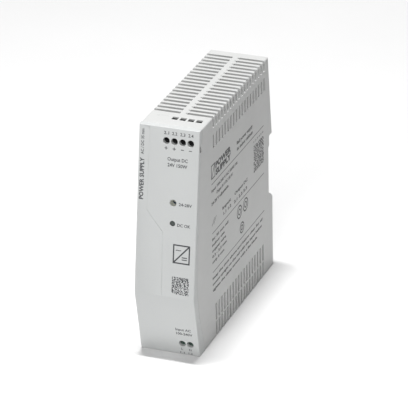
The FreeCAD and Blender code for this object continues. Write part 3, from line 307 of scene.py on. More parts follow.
@dataclass(frozen=True)
class ExtrudedAluminium:
    """Mill-finish aluminium with die lines along Z."""

    name: str
    colour: Colour

    def make(self) -> bpy.types.Material:
        """Build the material."""
        tool = Shader(self.name)
        die = tool.noise(0.35, detail=4, stretch=(1, 1, 0.02))
        haze = tool.noise(4, detail=4)
        tool.join(tool.blend(tool.spread(haze, 0, 1), shade(self.colour, 0.88), self.colour),
                  "Base Color")
        tool.join(tool.spread(die, 0.24, 0.46), "Roughness")
        tool.join(tool.relief(die, 0.012, 0.6), "Normal")
        tool.set(Metallic=1.0)
        return tool.material


@dataclass(frozen=True)
class PrintedInk:
    """Pad-printed ink, a little thin where the grain shows through."""

    name: str
    colour: Colour

    def make(self) -> bpy.types.Material:
        """Build the material."""
        tool = Shader(self.name)
        thin = tool.noise(0.18, detail=3)
        tool.join(tool.blend(tool.spread(thin, 0, 0.35, 0.45, 0.75), self.colour,
                             shade(self.colour, 1.9)), "Base Color")
        tool.join(tool.spread(thin, 0.4, 0.6), "Roughness")
        tool.join(tool.relief(thin, 0.006, 0.5), "Normal")
        return tool.material


@dataclass(frozen=True)
class SmokedLens:
    """Tinted light guide, polished at the front and frosted inside."""

    name: str
    colour: Colour

    def make(self) -> bpy.types.Material:
        """Build the material."""
        tool = Shader(self.name)
        frost = tool.noise(0.5, detail=3)
        tool.join(tool.blend(tool.spread(frost, 0, 1), shade(self.colour, 0.8),
                             shade(self.colour, 1.2)), "Base Color")
        tool.join(tool.spread(frost, 0.08, 0.2), "Roughness")
        tool.join(tool.relief(frost, 0.01, 0.4), "Normal")
        tool.set(Transmission_Weight=0.15, IOR=1.49, Coat_Weight=0.4, Coat_Roughness=0.08)
        return tool.material


class Finish(Enum):
    """Every finish of the supply, by what it is on."""

    # painted light: the housing is tinted a touch warmer than the cover, standing in for a warm
    # fill light on the side walls
    HOUSING = MouldedPlastic("housing polycarbonate", (0.548, 0.552, 0.546))
    COVER = MouldedPlastic("cover polycarbonate", (0.541, 0.553, 0.550), grain_depth_mm=0.009)
    # painted shade: near-black plugs stand in for the shade inside the seam holes
    SHADE = MouldedPlastic("painted shade in seam holes", (0.085, 0.088, 0.085))
    # painted shade: a flat film darker than the plastic stands in for the shade of the moulded
    # mark
    MARK = MouldedPlastic("painted shade of the moulded top mark", (0.455, 0.460, 0.455))
    FOOT = MouldedPlastic("foot polyamide", (0.52, 0.53, 0.53), 0.5, 0.3, 0.02)
    # painted shade: the output block and its throats are near black, standing in for the shade
    # inside the output wire entries
    OUTPUT_BLOCK = MouldedPlastic("output polyamide darkened as painted shade", (0.014, 0.015, 0.015), 0.5, 0.3, 0.02)
    INPUT_BLOCK = MouldedPlastic("green polyamide", (0.120, 0.185, 0.155), 0.5, 0.3, 0.02)
    FUNNEL = MouldedPlastic("trimmer funnel", (0.46, 0.47, 0.42), 0.5, 0.3, 0.015)
    SCREW = PlatedSteel("plated screw steel", (0.42, 0.47, 0.44))
    # painted shade: the output screws are darkened to stand in for the shade inside the output
    # entries
    DARK_SCREW = PlatedSteel("screw steel darkened as painted shade", (0.050, 0.052, 0.052), 0.45)
    GREEN_SCREW = PlatedSteel("passivated screw steel", (0.20, 0.28, 0.24), 0.42)
    CLAMP = PlatedSteel("plated clamp steel", (0.62, 0.62, 0.58))
    SPRING = PlatedSteel("spring wire", (0.55, 0.55, 0.56), 0.25)
    BUSBAR = GlossCoat("tinned busbar", (0.74, 0.70, 0.60), 0.3, 3, 0.02, None, 1.0)
    BOARD = BoardLaminate("green board", (0.018, 0.120, 0.045), (0.035, 0.180, 0.070))
    FILM = GlossCoat("insulating film", (0.70, 0.68, 0.58), 0.25, 18, 0.12)
    TRIMMER = MouldedPlastic("trimmer case", (0.05, 0.13, 0.28), 0.4, 0.2, 0.008)
    ROTOR = MouldedPlastic("trimmer rotor", (0.56, 0.56, 0.48), 0.4, 0.2, 0.008)
    LENS = SmokedLens("light guide", (0.030, 0.045, 0.040))
    LAMP = GlossCoat("lamp epoxy", (0.16, 0.42, 0.18), 0.15, 1.5, 0.01)
    GOLD = GlossCoat("gold-flashed pins", (0.85, 0.62, 0.24), 0.25, 1, 0.01, None, 1.0)
    CERAMIC = GlossCoat("fuse tube", (0.74, 0.72, 0.64), 0.2)
    CLIP = PlatedSteel("tinned clip", (0.68, 0.68, 0.64))
    DISC = GlossCoat("blue dipped resin", (0.03, 0.08, 0.30), 0.3, 1.4, 0.12)
    THERMISTOR = GlossCoat("black dipped resin", (0.035, 0.04, 0.035), 0.4, 1.4, 0.12)
    FILM_CAP = GlossCoat("capacitor box", (0.72, 0.60, 0.12), 0.35, 6, 0.03)
    FERRITE = PressedPowder("ferrite", (0.045, 0.045, 0.050))
    CORE = GlossCoat("core enamel", (0.10, 0.26, 0.12), 0.35, 1.5, 0.06)
    WIRE = GlossCoat("enamelled wire", (0.62, 0.19, 0.06), 0.2, 4, 0.01, None, 0.8)
    EPOXY = MouldedPlastic("black epoxy", (0.016, 0.016, 0.018), 0.5, 0.15, 0.02)
    SLEEVE = GlossCoat("can sleeve", (0.018, 0.026, 0.060), 0.28, 7, 0.04)
    CAN_END = PlatedSteel("can aluminium", (0.74, 0.74, 0.74), 0.35)
    SINK = ExtrudedAluminium("heat sink aluminium", (0.72, 0.73, 0.74))
    BOBBIN = MouldedPlastic("bobbin resin", (0.03, 0.03, 0.03), 0.45, 0.3, 0.02)
    TAPE = GlossCoat("winding tape", (0.74, 0.50, 0.05), 0.3, 3, 0.04, (1, 1, 14))
    SOLDER = GlossCoat("solder", (0.66, 0.66, 0.64), 0.28, 0.8, 0.05, None, 1.0)
    INK = PrintedInk("grey ink", (0.045, 0.047, 0.052))
    SIDE_INK = PrintedInk("dark ink", (0.022, 0.022, 0.024))

    def material(self) -> bpy.types.Material:
        """The finish's material, built once."""
        return bpy.data.materials.get(self.value.name) or self.value.make()


# ---------------------------------------------------------------- bench: shaping with operators


class Axis(Enum):
    """An axis that a round piece is made along, with the turn that lays a Z piece along it."""

    X = (0.0, math.pi / 2, 0.0)
    Y = (-math.pi / 2, 0.0, 0.0)
    Z = (0.0, 0.0, 0.0)


def pick(*pieces: bpy.types.Object) -> None:
    """Select these pieces alone, and make the first one active."""
    bpy.ops.object.select_all(action="DESELECT")
    for piece in pieces:
        piece.select_set(True)
    bpy.context.view_layer.objects.active = pieces[0]


def settle(piece: bpy.types.Object) -> bpy.types.Object:
    """Write a piece's place, turn and size into its mesh."""
    pick(piece)
    bpy.ops.object.transform_apply(location=True, rotation=True, scale=True)
    return piece


def dress(piece: bpy.types.Object, finish: Finish, body: str = HOUSING,
          angle: float = 35.0) -> bpy.types.Object:
    """Give a finished piece its finish and its body, and log it.

    Args:
        piece: the finished mesh.
        finish: what it is made of.
        body: the CAD body it moves with.
        angle: edges sharper than this many degrees stay sharp.

    Returns:
        The same piece.
    """
    pick(piece)
    bpy.ops.object.shade_smooth_by_angle(angle=math.radians(angle))
    modify(piece, "WEIGHTED_NORMAL", keep_sharp=True, weight=100)
    piece.data.materials.clear()
    piece.data.materials.append(finish.material())
    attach(piece, body)
    log.info("%s: %d faces, %s", piece.name, len(piece.data.polygons), finish.value.name)
    return piece


def block(name: str, low: Sequence[float], high: Sequence[float]) -> bpy.types.Object:
    """A box between two corners given in millimetres, to be shaped further."""
    low_m, high_m = mm(*low), mm(*high)
    bpy.ops.mesh.primitive_cube_add(size=1, location=(low_m + high_m) / 2)
    piece = bpy.context.object
    piece.name = name
    piece.scale = high_m - low_m
    return settle(piece)


def post(name: str, axis: Axis, middle: Sequence[float], radius: float, length: float,
         sides: int = 32) -> bpy.types.Object:
    """A cylinder round a middle given in millimetres, to be shaped further."""
    bpy.ops.mesh.primitive_cylinder_add(vertices=sides, radius=radius / 1000,
                                        depth=length / 1000, location=mm(*middle),
                                        rotation=axis.value)
    piece = bpy.context.object
    piece.name = name
    return settle(piece)


def modify(piece: bpy.types.Object, kind: str, **settings: object) -> bpy.types.Object:
    """Add one modifier with its settings, and apply it."""
    pick(piece)
    modifier = piece.modifiers.new(kind.title(), kind)
    for key, value in settings.items():
        setattr(modifier, key, value)
    bpy.ops.object.modifier_apply(modifier=modifier.name)
    return piece


def soften(piece: bpy.types.Object, width_mm: float, segments: int = 2,
           angle: float = 30.0) -> bpy.types.Object:
    """Round every edge that turns by more than the angle."""
    return modify(piece, "BEVEL", width=width_mm / 1000, segments=segments,
                  limit_method="ANGLE", angle_limit=math.radians(angle),
                  use_clamp_overlap=True)


def carve(piece: bpy.types.Object, tool: bpy.types.Object) -> bpy.types.Object:
    """Cut the tool's shape out of the piece, and throw the tool away."""
    modify(piece, "BOOLEAN", operation="DIFFERENCE", object=tool, solver="EXACT")
    bpy.data.objects.remove(tool, do_unlink=True)
    return piece


def unite(name: str, pieces: Sequence[bpy.types.Object]) -> bpy.types.Object:
    """Join pieces into one object."""
    pick(*pieces)
    if len(pieces) > 1:
        bpy.ops.object.join()
    joined = bpy.context.view_layer.objects.active
    joined.name = name
    return joined


def repeat_at(piece: bpy.types.Object, shifts_mm: Iterable[Sequence[float]],
              names: Optional[Sequence[str]] = None) -> list[bpy.types.Object]:
    """Copies of a piece, each with its own mesh moved by one shift.

    Args:
        piece: the first one, which is used up.
        shifts_mm: how far each copy is moved.
        names: a name for each copy.

    Returns:
        The copies in order.
    """
    copies = []
    for index, shift in enumerate(shifts_mm):
        twin = piece.copy()
        twin.data = piece.data.copy()
        twin.data.transform(Matrix.Translation(mm(*shift)))
        bpy.context.scene.collection.objects.link(twin)
        if names:
            twin.name = names[index]
        copies.append(twin)
    bpy.data.objects.remove(piece, do_unlink=True)
    return copies


def from_node(node: str, name: str, width_mm: float, segments: int = 2,
              angle: float = 28.0) -> bpy.types.Object:
    """A finely edged copy of a CAD node, which it then stands for.

    Args:
        node: the CAD node whose shape is right.
        name: the new piece's name.
        width_mm: how far the edges are rounded.
        segments: faces across a rounded edge.
        angle: edges that turn by less stay as they are.

    Returns:
        The copy, whose flat faces are whole and whose edges are rounded.
    """
    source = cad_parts[node]
    piece = bpy.data.objects.new(name, source.data.copy())
    bpy.context.scene.collection.objects.link(piece)
    pick(piece)
    bpy.ops.object.mode_set(mode="EDIT")
    bpy.ops.mesh.select_all(action="SELECT")
    bpy.ops.mesh.remove_doubles(threshold=2e-6)
    bpy.ops.mesh.dissolve_limited(angle_limit=math.radians(0.5))
    bpy.ops.object.mode_set(mode="OBJECT")
    if width_mm > 0:
        soften(piece, width_mm, segments, angle)
    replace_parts(piece, node)
    return piece


def face_finish(piece: bpy.types.Object, finish: Finish,
                wanted: Callable[[bpy.types.MeshPolygon], bool]) -> bpy.types.Object:
    """Give some faces of a dressed piece a second finish."""
    piece.data.materials.append(finish.material())
    index = len(piece.data.materials) - 1
    for face in piece.data.polygons:
        if wanted(face):
            face.material_index = index
    return piece


def closed(piece: bpy.types.Object) -> bpy.types.Object:
    """Merge doubles, fill the open ends and turn every face outwards."""
    pick(piece)
    bpy.ops.object.mode_set(mode="EDIT")
    bpy.ops.mesh.select_all(action="SELECT")
    bpy.ops.mesh.remove_doubles(threshold=1e-6)
    bpy.ops.mesh.select_mode(type="VERT")
    bpy.ops.mesh.select_all(action="DESELECT")
    bpy.ops.mesh.select_non_manifold()
    bpy.ops.mesh.fill_holes(sides=0)
    bpy.ops.mesh.select_all(action="SELECT")
    bpy.ops.mesh.normals_make_consistent(inside=False)
    bpy.ops.object.mode_set(mode="OBJECT")
    return piece


def coil(name: str, axis: Axis, start: Sequence[float], radius: float, wire: float,
         pitch: float, turns: float, sides: int = 10, steps: int = 24,
         flat: float = 1.0) -> bpy.types.Object:
    """Wire wound round an axis.

    Args:
        name: the piece's name.
        axis: the axis it is wound round.
        start: where the middle of the coil's first turn is, in millimetres.
        radius: from the axis to the middle of the wire.
        wire: radius of the wire.
        pitch: advance in one turn.
        turns: how many turns there are.
        sides: faces round the wire.
        steps: faces along one turn.
        flat: how much the wire is squeezed along the axis.

    Returns:
        The closed coil.
    """
    bpy.ops.mesh.primitive_circle_add(vertices=sides, radius=wire / 1000,
                                      location=(radius / 1000, 0, 0),
                                      rotation=(math.pi / 2, 0, 0))
    piece = bpy.context.object
    piece.name = name
    piece.scale = (1, flat, 1)
    settle(piece)
    modify(piece, "SCREW", axis="Z", angle=math.tau * turns, screw_offset=pitch * turns / 1000,
           steps=round(steps * turns), render_steps=round(steps * turns),
           use_merge_vertices=False)
    closed(piece)
    piece.rotation_euler = axis.value
    piece.location = mm(*start)
    return settle(piece)


@dataclass(frozen=True)
class Plane:
    """A flat part of the case that print lies on.

    place() gives the matrix that lays a flat drawing on it.
    """

    corner: Point
    right: Point
    up: Point

    def place(self, along: float, height: float, turned: bool = False) -> Matrix:
        """Matrix from a drawing in metres to a spot on the plane.

        Args:
            along: millimetres to the right of the corner.
            height: millimetres up from the corner.
            turned: True if the drawing reads upwards.

        Returns:
            The drawing's place.
        """
        right, up = Vector(self.right), Vector(self.up)
        out = right.cross(up)
        spot = mm(*self.corner) + (right * along + up * height) / 1000
        if turned:
            right, up = up, -right
        turn = Matrix((right, up, out)).transposed().to_4x4()
        return Matrix.Translation(spot) @ turn


class Board(Enum):
    """The printed planes: along and height are counted from x or y = 0 at the base."""

    UPPER = Plane((0, -62.5, 37.3), (1, 0, 0), (0, 0.14460, 0.98949))
    LOWER = Plane((0, -55.1, 0), (1, 0, 0), (0, -0.19462, 0.98088))
    SIDE = Plane((17, 0, 0), (0, 1, 0), (0, 0, 1))
    TOP = Plane((0, 0, 130), (1, 0, 0), (0, 1, 0))


@dataclass
class Printer:
    """Prints lettering, bars and outlines on one plane of the case, a hair thick."""

    board: Board
    finish: Finish
    stem: str
    thick_mm: float = 0.012
    pieces: list[bpy.types.Object] = field(default_factory=list)

    def height(self, z: float) -> float:
        """Distance up the plane to the level z."""
        plane = self.board.value
        return (z - plane.corner[2]) / plane.up[2] if plane.up[2] else z

    def film(self) -> float:
        """Thickness of the next print, never the same as its neighbours', in millimetres."""
        return self.thick_mm * (1 - 0.06 * (len(self.pieces) % 9))

    def lay(self, piece: bpy.types.Object, along: float, z: float,
            turned: bool = False) -> None:
        """Put a flat drawing on the plane and keep it."""
        piece.data.transform(self.board.value.place(along, self.height(z), turned))
        self.pieces.append(piece)

    def text(self, words: str, along: float, z: float, cap: float,
             width: Optional[float] = None, bold: float = 0.0, middle: bool = True,
             turned: bool = False) -> None:
        """Print words.

        Args:
            words: generic lettering.
            along: the words' middle, or their start if middle is False.
            z: level of the middle of the letters, or of their start if turned.
            cap: height of the capitals.
            width: length of the words, or None for the letters' own.
            bold: how much the strokes are thickened.
            middle: True if along and z are the words' middle.
            turned: True if the words read upwards.
        """
        bpy.ops.object.text_add(location=(0, 0, 0))
        label = bpy.context.object
        label.data.body = words
        label.data.resolution_u = 2
        label.data.extrude = 0.5
        label.data.offset = bold
        pick(label)
        bpy.ops.object.convert(target="MESH")
        label = bpy.context.object
        places = [vertex.co for vertex in label.data.vertices]
        low, high = min(p.x for p in places), max(p.x for p in places)
        top = max(p.y for p in places)
        base = min(p.y for p in places) if len(words) == 1 else 0.0
        scale = cap / 1000 / (top - base) if top > base and words not in "+-~=" else cap / 700
        stretch = (width / 1000) / (high - low) if width else scale
        shift = (low + high) / 2 if middle else low
        level = (top + base) / 2
        label.data.transform(Matrix.Diagonal((stretch, scale, self.film() / 1000, 1))
                             @ Matrix.Translation((-shift, -level, 0.25)))
        self.lay(label, along, z, turned)

    def bar(self, along: float, z: float, width: float, tall: float,
            lean: float = 0.0) -> None:
        """Print a bar with its middle at along and z, leaning to the right by lean degrees."""
        bpy.ops.mesh.primitive_cube_add(size=1)
        piece = bpy.context.object
        film = self.film()
        piece.scale = (width / 1000, tall / 1000, film / 1000)
        piece.rotation_euler = (0, 0, -math.radians(lean))
        piece.location = (0, 0, film / 4000)
        settle(piece)
        self.lay(piece, along, z)

    def line(self, start: tuple[float, float], end: tuple[float, float],
             width: float) -> None:
        """Print a straight line between two spots."""
        run = Vector((end[0] - start[0], self.height(end[1]) - self.height(start[1])))
        lean = 90 - math.degrees(math.atan2(run.y, run.x))
        self.bar((start[0] + end[0]) / 2, (start[1] + end[1]) / 2, width, run.length, lean)

    def frame(self, low: tuple[float, float], high: tuple[float, float],
              width: float) -> None:
        """Print the outline of a rectangle."""
        for z in (low[1], high[1]):
            self.bar((low[0] + high[0]) / 2, z, high[0] - low[0] + width, width)
        for along in (low[0], high[0]):
            self.bar(along, (low[1] + high[1]) / 2, width, high[1] - low[1])

    def ring(self, along: float, z: float, radius: float, width: float) -> None:
        """Print a circle's outline."""
        bpy.ops.mesh.primitive_cylinder_add(vertices=40, radius=(radius + width / 2) / 1000,
                                            depth=self.thick_mm / 1000)
        outer = bpy.context.object
        bpy.ops.mesh.primitive_cylinder_add(vertices=40, radius=(radius - width / 2) / 1000,
                                            depth=self.thick_mm / 200)
        carve(outer, bpy.context.object)
        self.lay(settle(outer), along, z)

    def patch(self, low: tuple[float, float], size: float, cells: int, seed: int) -> None:
        """Print a square patch of small squares that says nothing."""
        draw = random.Random(seed)
        step = size / cells
        for row in range(cells):
            column = 0
            while column < cells:
                run = 0
                while column + run < cells and run < 3 and draw.random() < 0.58:
                    run += 1
                if run:
                    self.bar(low[0] + (column + run / 2) * step, low[1] + (row + 0.5) * step,
                             run * step, step)
                column += run + 1

    def done(self, name: str) -> bpy.types.Object:
        """Join what was printed into one piece."""
        piece = unite(f"{self.stem}_{name}", self.pieces)
        self.pieces = []
        return dress(piece, self.finish, angle=1)


# ---------------------------------------------------------------- sub-assemblies


@dataclass
class Studio:
    """Pale floor, soft lights and the camera."""

    azimuth: float = 21.22
    elevation: float = 25.62
    roll: float = -1.03
    lens: float = 264.9
    overhead_size: tuple[float, float] = (0.09, 0.3)
    high_size: tuple[float, float] = (0.8, 0.8)
    rear_size: tuple[float, float] = (0.7, 0.7)
    place: Point = (0.53402, -1.37659, 0.77159)
    floor_albedo: float = 0.80
    world: float = 0.056
    overhead: float = 19.8
    high: float = 14.6
    rear: float = 1.3

    def camera(self) -> None:
        """Build the camera from its angles."""
        az, el, roll = (math.radians(v) for v in (self.azimuth, self.elevation, self.roll))
        right = Vector((math.cos(az), math.sin(az), 0))
        back = Vector((math.sin(az) * math.cos(el), -math.cos(az) * math.cos(el),
                       math.sin(el)))
        up = back.cross(right)
        turned = (right * math.cos(roll) + up * math.sin(roll),
                  up * math.cos(roll) - right * math.sin(roll), back)
        lens = bpy.data.cameras.new("camera")
        lens.lens = self.lens
        lens.sensor_width = 36
        lens.clip_start = 0.05
        lens.clip_end = 20
        camera = bpy.data.objects.new("camera", lens)
        camera.matrix_world = (Matrix.Translation(self.place)
                               @ Matrix(turned).transposed().to_4x4())
        bpy.context.scene.collection.objects.link(camera)
        bpy.context.scene.camera = camera

    def light(self, name: str, place: Point, aim: Point, size: tuple[float, float],
              power: float) -> None:
        """Hang a soft light of a width and a length."""
        lamp = bpy.data.lights.new(name, "AREA")
        lamp.shape = "RECTANGLE"
        lamp.size, lamp.size_y = size
        lamp.energy = power
        holder = bpy.data.objects.new(name, lamp)
        holder.location = place
        holder.rotation_euler = (Vector(aim) - Vector(place)).to_track_quat("-Z", "Y").to_euler()
        bpy.context.scene.collection.objects.link(holder)

    def build(self) -> None:
        """Build the whole stage."""
        self.camera()
        bpy.ops.mesh.primitive_plane_add(size=12, location=(0, 0, 0))
        floor = bpy.context.object
        floor.name = "studio_floor"
        paper = Shader("studio paper")
        paper.join(paper.blend(paper.spread(paper.noise(60), 0, 1),
                               (self.floor_albedo,) * 3, (self.floor_albedo - 0.01,) * 3),
                   "Base Color")
        paper.set(Roughness=0.9, Specular_IOR_Level=0.0)
        floor.data.materials.append(paper.material)
        middle = (0, 0, 0.06)
        self.light("overhead_strip", (-0.055, 0, 1.4), middle, self.overhead_size,
                   self.overhead)
        self.light("high_softbox", (0.1824, -1.2979, 0.9177), middle, self.high_size,
                   self.high)
        self.light("rear_softbox", (-0.12, 0.75, 0.8), (-0.14, 0.75, 0),
                   self.rear_size, self.rear)
        world = bpy.data.worlds.new("studio")
        world.use_nodes = True
        sky = world.node_tree.nodes["Background"]
        sky.inputs["Color"].default_value = (1, 1, 1, 1)
        sky.inputs["Strength"].default_value = self.world
        bpy.context.scene.world = world
        bpy.context.scene.view_settings.view_transform = "Standard"


@dataclass
class Casing:
    """Two vented shells and the kneed front cover."""

    shell_edge_mm: float = 0.12
    slat_edge_mm: float = 0.38
    slat_y: tuple[float, float] = (-31.0, 53.0)
    cover_edge_mm: float = 0.22
    line_mm: float = 0.34
    groove_mm: float = 0.3
    # the plugs placed by these fields are near black, painted shade inside the seam holes
    shade_plug_x: float = 1.85
    shade_plug_first_y: float = -28.881
    shade_plug_mm: float = 0.86
    vent_pitch: float = 4.383
    pins: int = 19
    panel_line: tuple[tuple[float, float], ...] = (
        (-11.0, 129.6), (-11.2, 83.7), (-2.0, 73.0), (-1.3, 37.8))

    def build(self) -> None:
        """Build the shells, the cover and the moulded line on it."""
        for node in ("left_housing_shell", "right_housing_shell"):
            shell = from_node(node, f"{node}_moulding", 0)
            self.round_slats(shell)
            dress(soften(shell, self.shell_edge_mm, 2, 28), Finish.HOUSING)
        cover = from_node("front_cover", "front_cover_moulding", self.cover_edge_mm, 3)
        cutter = Printer(Board.UPPER, Finish.COVER, "cover", self.groove_mm * 2)
        for start, end in zip(self.panel_line, self.panel_line[1:]):
            cutter.line(start, end, self.line_mm)
            carve(cover, cutter.pieces.pop())
        dress(cover, Finish.COVER)
        # near-black plugs paint the shade inside the seam holes
        self.plugs()
        # the mark is a darker film: painted shade of the moulded mark
        mark = Printer(Board.TOP, Finish.MARK, "top")
        mark.ring(-11.4, -35.6, 0.55, 0.3)
        mark.bar(-8.2, -35.0, 4.4, 0.3)
        mark.done("moulded_mark")

    def round_slats(self, shell: bpy.types.Object) -> None:
        """Round the long edges of the slats across the top and the base."""
        pick(shell)
        bpy.ops.object.mode_set(mode="EDIT")
        bpy.ops.mesh.select_mode(type="EDGE")
        bpy.ops.mesh.select_all(action="DESELECT")
        bpy.ops.object.mode_set(mode="OBJECT")
        mesh = shell.data
        low_y, high_y = (value / 1000 for value in self.slat_y)
        top, shortest, tolerance = 0.13, 0.005, 1e-5
        for edge in mesh.edges:
            start, end = (mesh.vertices[index].co for index in edge.vertices)
            run = end - start
            level = min(max(start.z, end.z), top - min(start.z, end.z)) < tolerance
            edge.select = (level and abs(run.x) > shortest and abs(run.y) < tolerance
                           and low_y < start.y < high_y)
        bpy.ops.object.mode_set(mode="EDIT")
        bpy.ops.mesh.bevel(offset=self.slat_edge_mm / 1000, segments=4, affect="EDGES",
                           clamp_overlap=True)
        bpy.ops.object.mode_set(mode="OBJECT")

    def plugs(self) -> None:
        """Close the small holes along the seam with near-black plugs just under them: painted
        shade inside the holes.
        """
        reach = self.shade_plug_mm / 2
        first = block("pin", (self.shade_plug_x - reach, self.shade_plug_first_y - reach, 127.9),
                      (self.shade_plug_x + reach, self.shade_plug_first_y + reach, 129.72))
        soften(first, 0.08, 2)
        row = repeat_at(first, [(0, self.vent_pitch * step, 0) for step in range(self.pins)])
        dress(unite("seam_hole_painted_shade", row), Finish.SHADE)


@dataclass
class CoverPrint:
    """Grey lettering on the front cover."""

    upper: Printer = field(default_factory=lambda: Printer(
        Board.UPPER, Finish.INK, "cover_upper"))
    lower: Printer = field(default_factory=lambda: Printer(
        Board.LOWER, Finish.INK, "cover_lower"))

    def build(self) -> None:
        """Print terminal numbers, ratings, control names and the converter symbol."""
        poles = (-1.55, 3.0, 7.55, 12.1)
        for number, x in enumerate(poles, 1):
            self.upper.text(f"2.{number}", x, 127.1, 1.7, 2.9, 0.02)
        for x, positive in zip(poles, (True, True, False, False)):
            self.upper.bar(x, 118.8, 1.7, 0.42)
            if positive:
                self.upper.bar(x, 118.8, 0.42, 1.7)
        self.upper.text("Output DC", 5.1, 113.2, 1.9, 11.4, 0.022)
        self.upper.text("24V 150W", 5.1, 110.0, 1.9, 11.1, 0.022)
        self.upper.text("24-28V", 10.3, 89.2, 1.65, 7.4, 0.022)
        self.upper.text("DC OK", 9.8, 77.8, 1.65, 7.4, 0.022)
        self.upper.done("lettering")
        self.symbol((4.6, 57.0), (13.5, 66.8))
        self.upper.patch((4.2, 39.6), 9.6, 24, 5)
        self.upper.done("patch")
        self.upper.text("POWER SUPPLY", -14.85, 100.5, 2.4, 23.0, 0.03, turned=True)
        self.upper.text("AC / DC 35 mm", -14.85, 120.6, 1.6, 14.0, 0.02, turned=True)
        self.upper.done("title")
        self.lower.text("Input AC", 8.9, 16.6, 1.65, 8.8, 0.022)
        self.lower.text("100-240V", 9.3, 13.9, 1.65, 9.3, 0.022)
        self.lower.text("L", 7.1, 3.6, 1.45, None, 0.022)
        self.lower.text("N", 11.8, 3.6, 1.45, None, 0.022)
        self.lower.text("1.1", 7.1, 1.2, 1.2, 2.4, 0.022)
        self.lower.text("1.2", 11.8, 1.2, 1.2, 2.4, 0.022)
        self.lower.done("lettering")

    def symbol(self, low: tuple[float, float], high: tuple[float, float]) -> None:
        """Print the symbol of a converter from alternating to direct current."""
        stroke = 0.75
        self.upper.frame(low, high, stroke)
        self.upper.line(low, high, stroke)
        self.upper.text("~", low[0] + 2.7, high[1] - 2.8, 1.5, 3.0, 0.05)
        self.upper.bar(high[0] - 2.7, low[1] + 3.3, 3.0, 0.55)
        self.upper.bar(high[0] - 2.7, low[1] + 2.1, 3.0, 0.55)
        self.upper.done("converter_symbol")


@dataclass
class SidePrint:
    """Dark print on the right shell: a generic data field between three rules."""

    ink: Printer = field(default_factory=lambda: Printer(
        Board.SIDE, Finish.SIDE_INK, "side"))
    rules: tuple[float, ...] = (92.5, 63.6, 40.4)
    rows: tuple[tuple[str, float, float, float, float], ...] = (
        ("Rail power supply", 5.5, 100.0, 1.7, 25.0),
        ("for indoor cabinets", 5.5, 96.3, 1.7, 25.0),
        ("Input 100-240 V AC 50/60 Hz", -33.7, 88.7, 1.5, 40.0),
        ("Output 24 V DC 150 W", -26.3, 85.0, 1.5, 25.0),
        ("24-28 V adjustable", -34.0, 81.1, 1.5, 26.0),
        ("Input", -17.7, 71.5, 1.5, 13.0),
        ("1.1 1.2", -16.3, 67.8, 1.5, 12.0),
        ("Output DC", 1.0, 71.7, 1.5, 20.6),
        ("2.1 2.2 2.3", 0.0, 67.2, 1.5, 20.6),
        ("for 35 mm rail", -34.0, 60.0, 1.3, 25.0),
        ("indoor use", -34.0, 56.6, 1.3, 19.0),
        ("copper wire", -34.0, 53.2, 1.3, 21.0),
        ("0.2 - 2.5 mm", -34.0, 49.8, 1.3, 22.0),
        ("strip 8 mm", -34.0, 46.4, 1.3, 18.0),
        ("keep the slots above and below clear for air", -34.0, 36.8, 1.3, 80.0),
        ("mount upright on the rail with the input below", -34.0, 33.2, 1.3, 78.0),
        ("tighten the clamp screws with a flat blade", -34.0, 29.6, 1.3, 70.0))

    def build(self) -> None:
        """Print the head, the rules, the rows of small words and the plain marks."""
        self.ink.frame((-33.3, 95.6), (-28.2, 103.2), 0.7)
        self.ink.line((-33.3, 95.6), (-28.2, 103.2), 0.7)
        self.ink.text("POWER", -15.4, 101.4, 3.5, 23.4, 0.06)
        self.ink.text("SUPPLY", -15.4, 97.1, 3.5, 23.4, 0.06)
        self.ink.done("head")
        for z in self.rules:
            self.ink.bar(7.3, z, 81.6, 0.42)
        for words, along, z, cap, width in self.rows:
            self.ink.text(words, along, z, cap * 1.2, width, 0.045, middle=False)
        for shift in (0.0, 2.4):
            self.ink.bar(-31.5 + shift, 70.0, 0.5, 5.4, 50)
        self.ink.done("rows")
        for along, z, radius in ((8.4, 57.5, 3.6), (18.0, 57.8, 3.6), (12.0, 46.5, 3.0)):
            self.ink.ring(along, z, radius, 0.8)
            self.ink.ring(along, z, radius * 0.45, 0.8)
        self.ink.done("plain_marks")
        self.ink.patch((31.8, 70.6), 16.2, 30, 9)
        self.ink.text("123456", 31.8, 89.2, 1.1, 16.0, 0.0, middle=False)
        self.ink.done("patch")


